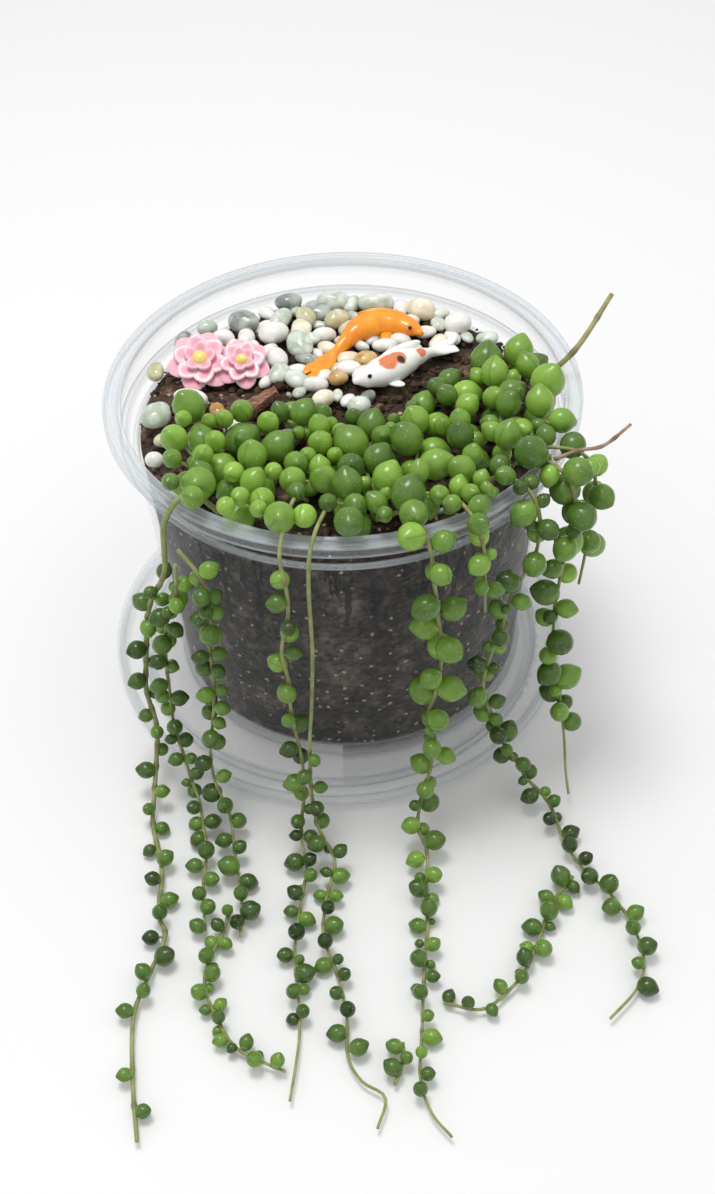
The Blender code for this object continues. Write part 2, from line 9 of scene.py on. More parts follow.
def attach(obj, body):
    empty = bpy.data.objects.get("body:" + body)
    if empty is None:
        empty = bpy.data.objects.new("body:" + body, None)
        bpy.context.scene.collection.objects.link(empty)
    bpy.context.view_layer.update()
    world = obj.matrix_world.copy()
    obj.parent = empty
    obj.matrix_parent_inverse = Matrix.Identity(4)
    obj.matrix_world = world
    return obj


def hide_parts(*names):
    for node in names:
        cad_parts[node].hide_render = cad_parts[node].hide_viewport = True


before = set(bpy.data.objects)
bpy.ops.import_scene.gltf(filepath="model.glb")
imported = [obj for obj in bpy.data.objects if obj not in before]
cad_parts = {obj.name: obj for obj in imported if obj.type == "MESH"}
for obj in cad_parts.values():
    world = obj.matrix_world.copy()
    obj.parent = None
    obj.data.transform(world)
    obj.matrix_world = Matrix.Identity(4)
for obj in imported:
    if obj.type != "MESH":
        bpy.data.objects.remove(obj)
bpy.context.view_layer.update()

mm = 0.001
scene = bpy.context.scene
noise.seed_set(7)  # noise vectors start from the clock unless this is set


# Helpers
def srgb(code):  # an sRGB hex value turned linear
    channels = [int(code[i:i + 2], 16) / 255 for i in (0, 2, 4)]
    return tuple(c / 12.92 if c <= 0.04045 else ((c + 0.055) / 1.055) ** 2.4 for c in channels) + (1.0,)


def addNode(tree, kind, settings=None, links=None):
    node = tree.nodes.new(kind)
    for key, value in (settings or {}).items():
        if key == "stops":  # colour ramp stops, as position and colour
            stops = node.color_ramp.elements
            while len(stops) < len(value):
                stops.new(1.0)
            for stop, (place, colour) in zip(stops, value):
                stop.position = place
                stop.color = colour
        elif isinstance(key, int) or key in node.inputs:
            node.inputs[key].default_value = value
        else:
            setattr(node, key, value)
    for key, source in (links or {}).items():
        tree.links.new(source, node.inputs[key])
    return node


def startMaterial(name, roughness=0.5, **values):
    material = bpy.data.materials.new(name)
    material.use_nodes = True
    tree = material.node_tree
    shader = tree.nodes["Principled BSDF"]
    shader.inputs["Roughness"].default_value = roughness
    for key, value in values.items():
        shader.inputs[key.replace("_", " ")].default_value = value
    return material, tree, shader


def colourFaces(verts, index):
    for vert in verts:
        for face in vert.link_faces:
            face.material_index = index


def finishPiece(bm, name, material, slotName, *nodes, smooth=True, subdivide=0):
    bmesh.ops.scale(bm, vec=(mm, mm, mm), verts=bm.verts)
    mesh = bpy.data.meshes.new(name)
    bm.to_mesh(mesh)
    bm.free()
    if smooth:
        mesh.shade_smooth()
    piece = bpy.data.objects.new(name, mesh)
    scene.collection.objects.link(piece)
    for each in (material if isinstance(material, list) else [material]):
        mesh.materials.append(each)
    if subdivide:
        rounding = piece.modifiers.new("rounding", "SUBSURF")
        rounding.levels = subdivide
        rounding.render_levels = subdivide
    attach(piece, "root")
    if nodes:
        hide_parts(*nodes)
    return piece


def spinOutline(bm, outline, steps, centre=(0.0, 0.0)):
    edge = bm.verts.layers.float.new("edge")
    fine = outline[:1]
    for start, end in zip(outline, outline[1:]):  # long stretches get a point just inside each end
        length = math.dist(start, end)
        if length > 2.0:
            for share in (0.6 / length, 1.0 - 0.6 / length):
                fine.append((start[0] + (end[0] - start[0]) * share, start[1] + (end[1] - start[1]) * share))
        fine.append(end)
    verts = [bm.verts.new((centre[0] + radius, centre[1], height)) for radius, height in fine]
    for before, vert, after in zip(verts, verts[1:], verts[2:]):  # close points are the rounded edges
        vert[edge] = 1.0 if max((vert.co - before.co).length, (after.co - vert.co).length) < 0.9 else 0.0
    edges = [bm.edges.new(pair) for pair in zip(verts, verts[1:])]
    bmesh.ops.spin(bm, geom=verts + edges, axis=(0, 0, 1), cent=(centre[0], centre[1], 0),
                   angle=math.tau, steps=steps, use_merge=True)
    bmesh.ops.remove_doubles(bm, verts=bm.verts, dist=0.002)
    bmesh.ops.recalc_face_normals(bm, faces=bm.faces)


def arcPoints(centre, radius, start, end, count):  # points on an arc of an outline, angles in degrees
    points = []
    for i in range(count + 1):
        angle = math.radians(start + (end - start) * i / count)
        points.append((centre[0] + radius * math.cos(angle), centre[1] + radius * math.sin(angle)))
    return points


# Clear plastic pot and saucer
# Thin injection-moulded polypropylene: see-through, a little milky, whiter where it is seen at a slant.
plasticFinish = {
    "tint": "D3DADF", "ior": 1.49, "rubMm": 5.0,
    "milk": -0.03, "slant": 0.6, "rimMilk": 0.12, "edgeMilk": 0.3,
    "rubMilk": 0.02, "leastMilk": 0.004, "rimFrom": 83.5, "rimTo": 85.5,
}


def makePlastic():
    f = plasticFinish
    material, tree, shader = startMaterial("clear moulded polypropylene", 0.12, IOR=f["ior"])
    shader.inputs["Base Color"].default_value = srgb(f["tint"])
    coords = addNode(tree, "ShaderNodeTexCoord")
    rubs = addNode(tree, "ShaderNodeTexNoise", {"Scale": 1000 / f["rubMm"], "Detail": 6.0},
                   {"Vector": coords.outputs["Object"]})
    rough = addNode(tree, "ShaderNodeMapRange",
                    {"From Min": 0.35, "From Max": 0.75, "To Min": 0.06, "To Max": 0.22},
                    {"Value": rubs.outputs["Fac"]})
    tree.links.new(rough.outputs["Result"], shader.inputs["Roughness"])
    slant = addNode(tree, "ShaderNodeLayerWeight", {"Blend": 0.08})
    haze = addNode(tree, "ShaderNodeMath", {"operation": "MULTIPLY_ADD", 1: f["slant"], 2: f["milk"]},
                   {0: slant.outputs["Facing"]})
    height = addNode(tree, "ShaderNodeSeparateXYZ", {}, {"Vector": coords.outputs["Object"]})
    span = {"From Min": f["rimFrom"] / 1000, "From Max": f["rimTo"] / 1000, "To Max": f["rimMilk"]}
    thick = addNode(tree, "ShaderNodeMapRange", span,
                    {"Value": height.outputs["Z"]})
    rounded = addNode(tree, "ShaderNodeAttribute", {"attribute_name": "edge"})
    thick = addNode(tree, "ShaderNodeMath", {"operation": "MULTIPLY_ADD", 1: f["edgeMilk"]},
                    {0: rounded.outputs["Fac"], 2: thick.outputs["Result"]})
    haze = addNode(tree, "ShaderNodeMath", {"operation": "ADD"},
                   {0: haze.outputs["Value"], 1: thick.outputs["Value"]})
    cloudy = addNode(tree, "ShaderNodeMath", {"operation": "MULTIPLY_ADD", 1: f["rubMilk"]},
                     {0: rubs.outputs["Fac"], 2: haze.outputs["Value"]})
    cloudy = addNode(tree, "ShaderNodeMath", {"operation": "MAXIMUM", 1: f["leastMilk"]},
                     {0: cloudy.outputs["Value"]})
    tree.links.new(cloudy.outputs["Value"], shader.inputs["Alpha"])
    bump = addNode(tree, "ShaderNodeBump", {"Strength": 0.05, "Distance": 0.0002},
                   {"Height": rubs.outputs["Fac"]})
    tree.links.new(bump.outputs["Normal"], shader.inputs["Normal"])
    return material


plastic = makePlastic()

potSize = {
    "rim": 59.0, "top": 88.0, "skirt": 3.0, "mouth": 54.4, "ledgeTop": 79.4, "ledgeStep": 2.8,
    "bodyTop": 52.6, "base": 48.0, "footWidth": 4.0, "footDepth": 1.5,
    "wall": 0.9, "standing": 1.5, "steps": 192, "ribs": (55.8, 56.9, 58.0),
}


def buildPot():
    p = potSize
    wall = p["wall"]
    inner = p["base"] - wall
    floorTop = p["standing"] + p["footDepth"] + wall
    ledgeBottom = p["ledgeTop"] - p["ledgeStep"]
    outline = [(0.0, floorTop), (inner - 3.0, floorTop)]
    outline += arcPoints((inner - 2.0, floorTop + 2.0), 2.0, -90, 0, 5)
    outline += [(p["bodyTop"] - wall - 0.3, ledgeBottom - 2.0), (p["bodyTop"] - wall, ledgeBottom)]
    outline += arcPoints((p["mouth"] - 1.2, p["ledgeTop"] - 0.6), 1.2, -60, 0, 4)
    outline += [(p["mouth"], p["top"] - 1.2)]
    outline += arcPoints((p["mouth"] + 0.7, p["top"] - 0.7), 0.7, 180, 90, 4)
    for rib in p["ribs"]:  # fine ribs that run round the flat of the rim
        outline += [(rib - 0.5, p["top"] - 0.45)] + arcPoints((rib, p["top"] - 0.35), 0.35, 160, 20, 4)
        outline += [(rib + 0.5, p["top"] - 0.45)]
    outline += arcPoints((p["rim"] - 0.6, p["top"] - 0.6), 0.6, 90, 0, 4)
    outline += [(p["rim"], p["top"] - p["skirt"] + 0.5)]
    outline += arcPoints((p["rim"] - 0.4, p["top"] - p["skirt"] + 0.4), 0.4, 0, -180, 5)
    outline += [(p["rim"] - 0.8, p["top"] - 1.5), (p["mouth"] + wall + 0.5, p["top"] - 1.5)]
    outline += [(p["mouth"] + wall, p["top"] - 2.2), (p["mouth"] + wall, p["ledgeTop"])]
    outline += arcPoints((p["mouth"] + wall, p["ledgeTop"] - 0.6), 0.6, 80, -80, 5)
    outline += [(p["bodyTop"], ledgeBottom - wall)]
    outline += [(p["base"] + 0.2, p["standing"] + 3.0)]
    outline += arcPoints((p["base"] - 1.2, p["standing"] + 1.2), 1.2, 0, -90, 5)
    outline += [(p["base"] - p["footWidth"], p["standing"])]
    footTop = p["standing"] + p["footDepth"]
    outline += [(p["base"] - p["footWidth"] - 0.4, footTop), (0.0, footTop)]
    bm = bmesh.new()
    spinOutline(bm, outline, p["steps"])
    return finishPiece(bm, "pot_shell", plastic, "clear_plastic", "pot")


saucerSize = {"radius": 63.1, "edge": 4.6, "well": 55.8, "floor": 0.9, "shift": (-3.3, -1.3), "steps": 192}


def buildSaucer():
    s = saucerSize
    shelf = s["edge"] - 1.2
    outline = [(0.0, s["floor"]), (30.0, s["floor"])]
    outline += arcPoints((30.8, s["floor"]), 0.5, 150, 30, 3)
    outline += [(s["well"] - 2.6, s["floor"])]
    outline += arcPoints((s["well"] - 2.0, s["floor"] + 1.0), 1.0, -90, -10, 4)
    outline += [(s["well"] - 0.6, shelf)]
    outline += arcPoints((s["well"] + 0.4, shelf), 0.6, 150, 30, 4)
    outline += [(s["well"] + 1.6, shelf - 0.3), (s["radius"] - 2.6, shelf - 0.3)]
    outline += arcPoints((s["radius"] - 1.6, shelf), 0.6, 200, 90, 3)
    outline += arcPoints((s["radius"] - 0.6, s["edge"] - 0.6), 0.6, 150, 0, 5)
    outline += [(s["radius"], shelf - 1.0), (s["radius"] - 0.7, shelf - 1.2), (s["radius"] - 0.9, shelf - 0.9)]
    outline += [(s["well"] + 1.4, shelf - 1.2), (s["well"] + 0.2, 1.0)]
    outline += arcPoints((s["well"] - 0.8, 1.0), 1.0, 0, -90, 4)
    outline += [(0.0, 0.0)]
    bm = bmesh.new()
    spinOutline(bm, outline, s["steps"], s["shift"])
    return finishPiece(bm, "saucer_shell", plastic, "clear_plastic", "saucer")


buildPot()
buildSaucer()
print("pot and saucer made")

# Soil
# Damp coco peat with perlite: dark brown crumbs that scatter light, rough all over.
soilFinish = {
    "dark": "241811", "brown": "523D2F", "fibre": "B4977A", "grit": "C9B79B", "crumbMm": 1.5,
    "dampDark": "231D1B", "dampBrown": "453C39", "dampFibre": "8A7B70", "wet": "0E0B0A", "runMm": 3.2,
}


def makeSoil(name, damp):
    f = soilFinish
    material, tree, shader = startMaterial(name, 0.9)
    coords = addNode(tree, "ShaderNodeTexCoord")
    where = {"Vector": coords.outputs["Object"]}
    clods = addNode(tree, "ShaderNodeTexNoise",
                    {"Scale": 1000 / (f["crumbMm"] * 5), "Detail": 8.0, "Roughness": 0.65}, where)
    crumbs = addNode(tree, "ShaderNodeTexVoronoi", {"Scale": 1000 / f["crumbMm"]}, where)
    bent = addNode(tree, "ShaderNodeVectorMath", {"operation": "MULTIPLY_ADD", 1: (0.003, 0.003, 0.003)},
                   {0: clods.outputs["Color"], 2: coords.outputs["Object"]})
    grit = addNode(tree, "ShaderNodeTexVoronoi", {"Scale": 1000 / (f["crumbMm"] * 1.5)},
                   {"Vector": bent.outputs["Vector"]})
    level = addNode(tree, "ShaderNodeSeparateColor", {}, {"Color": crumbs.outputs["Color"]})
    level = addNode(tree, "ShaderNodeMapRange", {"To Min": 0.45, "To Max": 1.25},
                    {"Value": level.outputs["Red"]})
    stops = [(0.3, srgb(f["dark"])), (0.55, srgb(f["brown"])), (0.78, srgb(f["fibre"]))]
    if damp:
        stops = [(0.3, srgb(f["dampDark"])), (0.52, srgb(f["dampBrown"])), (0.78, srgb(f["dampFibre"]))]
    tone = addNode(tree, "ShaderNodeValToRGB", {"stops": stops}, {"Fac": clods.outputs["Fac"]})
    shade = addNode(tree, "ShaderNodeMix", {"data_type": "RGBA", "blend_type": "MULTIPLY", 0: 1.0},
                    {6: tone.outputs["Color"], 7: level.outputs["Result"]})
    spots = addNode(tree, "ShaderNodeMapRange",
                    {"From Min": 0.16, "From Max": 0.26, "To Min": 0.8, "To Max": 0.0},
                    {"Value": grit.outputs["Distance"]})
    pick = addNode(tree, "ShaderNodeSeparateColor", {}, {"Color": grit.outputs["Color"]})
    rare = addNode(tree, "ShaderNodeMath", {"operation": "GREATER_THAN", 1: 0.66 if damp else 0.78},
                   {0: pick.outputs["Red"]})
    gritHere = addNode(tree, "ShaderNodeMath", {"operation": "MULTIPLY"},
                       {0: spots.outputs["Result"], 1: rare.outputs["Value"]})
    colour = addNode(tree, "ShaderNodeMix", {"data_type": "RGBA", 7: srgb(f["grit"])},
                     {0: gritHere.outputs["Value"], 6: shade.outputs[2]})
    surface = colour.outputs[2]
    if damp:  # water runs down inside the wall in dark streaks
        runs = addNode(tree, "ShaderNodeMapping", {"Scale": (1.0, 1.0, 0.14)}, where)
        streaks = addNode(tree, "ShaderNodeTexNoise",
                          {"Scale": 1000 / f["runMm"], "Detail": 6.0, "Roughness": 0.65},
                          {"Vector": runs.outputs["Vector"]})
        wet = addNode(tree, "ShaderNodeMapRange",
                      {"From Min": 0.53, "From Max": 0.57, "To Min": 0.0, "To Max": 0.85},
                      {"Value": streaks.outputs["Fac"]})
        height = addNode(tree, "ShaderNodeSeparateXYZ", {}, where)
        upper = addNode(tree, "ShaderNodeMapRange", {"From Min": 0.035, "From Max": 0.06},
                        {"Value": height.outputs["Z"]})
        wet = addNode(tree, "ShaderNodeMath", {"operation": "MULTIPLY"},
                      {0: wet.outputs["Result"], 1: upper.outputs["Result"]})
        stained = addNode(tree, "ShaderNodeMix", {"data_type": "RGBA", 7: srgb(f["wet"])},
                          {0: wet.outputs["Value"], 6: surface})
        surface = stained.outputs[2]
    tree.links.new(surface, shader.inputs["Base Color"])
    bump = addNode(tree, "ShaderNodeBump", {"Strength": 0.9, "Distance": 0.0008},
                   {"Height": crumbs.outputs["Distance"]})
    tree.links.new(bump.outputs["Normal"], shader.inputs["Normal"])
    return material


topSoil = makeSoil("crumbly coco peat", False)
wallSoil = makeSoil("damp peat against the wall", True)
soilSize = {"top": 77.3, "relief": 1.0, "edge": 51.0, "base": 46.5, "floor": 4.6, "rings": 44, "steps": 180}


def soilHeight(x, y):
    lumps = noise.noise(Vector((x * 0.16, y * 0.16, 3.1))) + 0.5 * noise.noise(Vector((x * 0.5, y * 0.5, 7.7)))
    return soilSize["top"] + soilSize["relief"] * lumps


def buildSoil():
    s = soilSize
    topEdge = s["top"] - 1.0
    outline = [(0.0, s["top"])]
    outline += [(s["edge"] * i / s["rings"], s["top"]) for i in range(1, s["rings"])]
    outline += [(s["edge"], topEdge), (s["base"], s["floor"]), (0.0, s["floor"])]
    bm = bmesh.new()
    spinOutline(bm, outline, s["steps"])
    for vert in bm.verts:
        if vert.co.z > s["top"] - 0.5:
            vert.co.z = soilHeight(vert.co.x, vert.co.y)
    for face in bm.faces:
        face.material_index = 0 if face.normal.z > 0.3 else 1
    return finishPiece(bm, "soil_bed", [topSoil, wallSoil], "potting_soil", "soil")


crumbPlan = {"count": 1700, "reach": 51.6, "least": 0.4, "most": 2.4, "seed": 11, "perlite": 50}
# Expanded perlite: white, dry and porous.
perlite, _, perliteShader = startMaterial("expanded perlite", 0.85)
perliteShader.inputs["Base Color"].default_value = srgb("DAD4C8")


def buildCrumbs():
    p = crumbPlan
    chance = random.Random(p["seed"])
    bm = bmesh.new()
    for i in range(p["count"] + p["perlite"]):
        size = p["least"] + (p["most"] - p["least"]) * chance.random() ** 3
        reach = (p["reach"] - size) * math.sqrt(chance.random())
        angle = chance.uniform(0, math.tau)
        x, y = reach * math.cos(angle), reach * math.sin(angle)
        white = i >= p["count"]
        turn = Matrix.Rotation(chance.uniform(0, math.tau), 4, Vector((chance.random(), chance.random(), 1.0)))
        squash = Matrix.Diagonal((1.0, chance.uniform(0.55, 1.0), chance.uniform(0.5, 0.9), 1.0))
        where = Matrix.Translation((x, y, soilHeight(x, y) + 0.35 * size))
        made = bmesh.ops.create_icosphere(bm, subdivisions=1, radius=size, matrix=where @ turn @ squash)
        for vert in made["verts"]:
            vert.co += 0.3 * size * noise.noise_vector(vert.co * 1.3)
        colourFaces(made["verts"], 1 if white else 0)
    return finishPiece(bm, "soil_crumbs", [topSoil, perlite], "potting_soil", "soil", smooth=False)


buildSoil()
buildCrumbs()
print("soil made")

# Pebbles
# Tumbled quartz and serpentine: cloudy inside, polished to a soft shine, faint veins about 3 mm apart.
stoneFinish = {  # stone: darker colour, lighter colour, roughness, clearness
    "jade": ("BFCBB9", "EAF0E5", 0.1, 0.1),
    "olive": ("CCC99C", "EAE7C8", 0.1, 0.15),
    "white": ("EAE8E2", "FBF9F6", 0.14, 0.05),
    "amber": ("C8964C", "EACA92", 0.1, 0.2),
    "cream": ("E0D2B2", "F4ECDD", 0.16, 0.0),
    "grey": ("868D87", "BCC1BA", 0.12, 0.05),
}


def makeStone(name, dark, light, roughness, clear):
    material, tree, shader = startMaterial("polished " + name + " pebble", roughness)
    shader.inputs["Subsurface Weight"].default_value = 0.4
    shader.inputs["Transmission Weight"].default_value = clear
    shader.inputs["Subsurface Radius"].default_value = (1.0, 1.0, 0.9)
    shader.inputs["Subsurface Scale"].default_value = 0.0015
    coords = addNode(tree, "ShaderNodeTexCoord")
    veins = addNode(tree, "ShaderNodeTexNoise", {"Scale": 260.0, "Detail": 4.0, "Distortion": 0.8},
                    {"Vector": coords.outputs["Object"]})
    colour = addNode(tree, "ShaderNodeValToRGB", {"stops": [(0.38, srgb(dark)), (0.6, srgb(light))]},
                     {"Fac": veins.outputs["Fac"]})
    tree.links.new(colour.outputs["Color"], shader.inputs["Base Color"])
    bump = addNode(tree, "ShaderNodeBump", {"Strength": 0.08, "Distance": 0.0004},
                   {"Height": veins.outputs["Fac"]})
    tree.links.new(bump.outputs["Normal"], shader.inputs["Normal"])
    return material


pebbleBase = 78.3  # height that the pebbles stand at, in millimetres
pebblePlan = [  # stone, x, y, length, width, height, turn
    ("grey", -13.8, 46.2, 8.0, 5.6, 5.0, 10), ("jade", -1.6, 45.2, 10.2, 7.0, 6.0, 0),
    ("olive", -9.2, 38.6, 7.4, 5.4, 5.6, 120), ("olive", -0.8, 37.2, 8.4, 5.6, 5.6, 30),
    ("grey", -25.8, 37.0, 9.2, 7.8, 6.0, 160), ("jade", -35.4, 35.6, 6.2, 5.4, 4.8, 20),
    ("grey", -41.6, 30.8, 6.2, 4.2, 4.4, 60), ("white", -17.6, 31.4, 8.2, 7.4, 6.4, 0),
    ("white", -31.0, 30.2, 7.2, 5.8, 5.8, 0), ("jade", -10.8, 26.4, 11.0, 7.2, 6.0, 110),
    ("white", -16.6, 20.6, 8.4, 5.8, 5.6, 100), ("white", -4.0, 31.2, 7.4, 4.2, 4.2, 5),
    ("jade", -11.6, 12.6, 7.4, 5.6, 4.2, 130), ("white", -38.4, 6.2, 9.4, 5.4, 4.6, 160),
    ("olive", -48.0, 17.4, 7.0, 4.8, 4.0, 100), ("jade", -46.4, -1.4, 9.8, 7.6, 6.0, 70),
    ("olive", -43.8, -9.8, 7.0, 4.2, 3.6, 20), ("white", -46.0, -17.0, 5.2, 4.4, 4.0, 0),
    ("amber", -31.6, 1.0, 6.0, 4.2, 3.8, 100), ("white", -27.4, -6.0, 5.8, 4.6, 4.0, 60),
    ("jade", 9.8, 43.8, 10.8, 7.2, 6.0, 0), ("cream", 21.8, 39.6, 8.6, 7.6, 6.4, 150),
    ("white", 31.2, 33.4, 8.2, 7.2, 5.6, 30), ("amber", 6.2, 20.0, 6.6, 5.6, 4.2, 30),
    ("amber", -1.0, 12.4, 6.4, 4.8, 4.0, 0), ("jade", 4.0, 0.6, 7.2, 5.6, 4.6, 20),
    ("cream", -4.8, 4.0, 7.4, 5.2, 4.4, 40), ("grey", -14.2, -11.4, 7.8, 6.2, 4.8, 0),
    ("jade", 38.6, 26.8, 6.8, 5.2, 4.4, 10),
]

# The blossoms and the koi come before the stones between them, because small stones keep clear of both
blossomPlan = {
    "heads": [((-36.2, 18.0, 83.4), 8.0, 12), ((-25.4, 16.8, 83.2), 6.6, 40)],  # middle, radius, turn
    # each row of petals: how many, reach and length as shares of the radius, height, rise in degrees
    "rows": [(6, 0.6, 0.5, -1.6, -4), (6, 0.5, 0.42, -0.4, 12), (5, 0.32, 0.27, 0.7, 30)],
    "tilt": 26, "deep": "EE9BB2", "pink": "F7B8C6", "pale": "FBD9DF", "yellow": "F6D66E", "butter": "FBE79A",
}
koiSections = [  # half width and half height from nose to tail
    (0.8, 0.7), (3.0, 2.4), (4.2, 3.4), (4.4, 3.6), (3.5, 3.1), (2.2, 2.3), (1.2, 1.4), (2.8, 0.8), (3.6, 0.5),
]
orangeSpine = [(21.5, 27.5, 82.2), (18.5, 30.5, 82.2), (14.5, 32.8, 82.2), (9.5, 33.2, 82.4), (5.0, 30.5, 82.3),
               (1.2, 26.0, 81.6), (-2.2, 21.6, 80.8), (-5.0, 18.4, 80.2), (-8.0, 15.6, 79.8)]
whiteSpine = [(2.6, 8.5, 82.0), (5.2, 9.6, 82.0), (9.0, 11.4, 82.0), (13.2, 13.8, 82.2), (17.4, 16.6, 82.2),
              (21.0, 19.2, 81.6), (24.0, 21.4, 81.0), (26.6, 23.4, 80.6), (29.2, 25.2, 80.4)]


def addPebble(bm, x, y, length, width, height, turn, lift=0.0):
    middle = Matrix.Translation((x, y, pebbleBase + 0.5 * height + lift))
    turned = middle @ Matrix.Rotation(math.radians(turn), 4, "Z")
    shape = turned @ Matrix.Diagonal((0.5 * length, 0.5 * width, 0.5 * height, 1.0))
    made = bmesh.ops.create_icosphere(bm, subdivisions=2, radius=1.0, matrix=shape)
    centre = shape.translation
    for vert in made["verts"]:
        push = 0.24 * noise.noise((vert.co - centre) * 0.26 + centre)
        vert.co += (vert.co - centre) * push


def pebbleFront(x):  # the front limit of the pebble layer, three straight stretches
    if x < -20.0:
        return 24.0 - 1.1 * (x + 26.0)
    if x < 4.0:
        return 12.0 - 0.4 * (x + 20.0)
    return 3.0 + 0.9 * (x - 4.0)


fillerPlan = {  # small stones between the others: where they may lie, their lengths, and their spacing
    "seed": 5, "tries": 6000, "left": -47, "right": 40, "front": -22, "back": 49, "reach": 50.5,
    "least": 5.0, "most": 9.5, "overlap": 0.66,
    "mix": ["jade", "jade", "white", "olive", "cream", "white", "white", "jade", "grey"],
}


def fillPebbles():  # small stones in the gaps of the layer at the back
    f = fillerPlan
    chance = random.Random(f["seed"])
    taken = [(x, y, 0.25 * (length + width)) for _, x, y, length, width, *_ in pebblePlan]
    taken += [(x, y, 0.62 * radius) for (x, y, _), radius, _ in blossomPlan["heads"]]
    taken += [(x, y, 2.6) for x, y, _ in orangeSpine + whiteSpine]
    found = []
    for _ in range(f["tries"]):
        x, y = chance.uniform(f["left"], f["right"]), chance.uniform(f["front"], f["back"])
        length = chance.uniform(f["least"], f["most"])
        reach = 0.42 * length
        if math.hypot(x, y) + reach > f["reach"] or y < pebbleFront(x):
            continue
        if all(math.hypot(x - a, y - b) > f["overlap"] * (reach + r) for a, b, r in taken):
            taken.append((x, y, reach))
            stone = chance.choice(f["mix"])
            width, height = length * chance.uniform(0.55, 0.78), length * chance.uniform(0.42, 0.55)
            turn, lift = chance.uniform(0, 180), chance.uniform(-0.4, 0.6)
            found.append((stone, x, y, length, width, height, turn, lift))
    return found


def buildPebbles():
    fillers = fillPebbles()
    for stone, look in stoneFinish.items():
        material = makeStone(stone, *look)
        bm = bmesh.new()
        nodes = []
        for i, (kind, *numbers) in enumerate(pebblePlan):
            if kind == stone:
                addPebble(bm, *numbers)
                nodes.append("pebble_%02d" % (i + 1))
        for kind, *numbers in fillers:
            if kind == stone:
                addPebble(bm, *numbers)
        finishPiece(bm, "pebbles_" + stone, material, stone + "_stone", *nodes, subdivide=1)


buildPebbles()
print("pebbles made")

# Bark chip
barkFinish = {"dark": "5A3A2C", "light": "A87A62", "grainMm": 0.7}
barkPlan = {"at": (-20.6, 3.6, 80.6), "turn": 34, "tilt": -14, "size": (10.0, 4.6, 2.6)}


def buildBark():
    # Pine bark: flaky layers about 0.7 mm thick, dry and matt.
    material, tree, shader = startMaterial("flaky pine bark", 0.85)
    coords = addNode(tree, "ShaderNodeTexCoord")
    along = {"Rotation": (0.0, 0.0, math.radians(-barkPlan["turn"])), "Scale": (0.25, 1.0, 1.0)}
    turned = addNode(tree, "ShaderNodeMapping", along,
                     {"Vector": coords.outputs["Object"]})
    grain = addNode(tree, "ShaderNodeTexNoise", {"Scale": 1000 / barkFinish["grainMm"], "Detail": 5.0},
                    {"Vector": turned.outputs["Vector"]})
    stops = [(0.35, srgb(barkFinish["dark"])), (0.65, srgb(barkFinish["light"]))]
    colour = addNode(tree, "ShaderNodeValToRGB", {"stops": stops}, {"Fac": grain.outputs["Fac"]})
    tree.links.new(colour.outputs["Color"], shader.inputs["Base Color"])
    bump = addNode(tree, "ShaderNodeBump", {"Strength": 0.9, "Distance": 0.0006},
                   {"Height": grain.outputs["Fac"]})
    tree.links.new(bump.outputs["Normal"], shader.inputs["Normal"])
    p = barkPlan
    place = (Matrix.Translation(p["at"]) @ Matrix.Rotation(math.radians(p["turn"]), 4, "Z")
             @ Matrix.Rotation(math.radians(p["tilt"]), 4, "Y"))
    bm = bmesh.new()
    bmesh.ops.create_cube(bm, size=1.0, matrix=Matrix.Diagonal((*p["size"], 1.0)))
    bmesh.ops.scale(bm, vec=(1.0, 0.5, 0.7), verts=[v for v in bm.verts if v.co.x > 0])
    bmesh.ops.subdivide_edges(bm, edges=bm.edges, cuts=6, use_grid_fill=True)
    for vert in bm.verts:
        layer = noise.noise(Vector((vert.co.x * 0.3, vert.co.y * 1.4, vert.co.z * 2.0)))
        vert.co += 0.5 * noise.noise_vector(vert.co * 0.6) + Vector((0, 0, 0.4 * layer))
    bmesh.ops.transform(bm, matrix=place, verts=bm.verts)
    finishPiece(bm, "bark_flake", material, "bark", "bark_chip", smooth=False)


buildBark()

# Resin blossoms


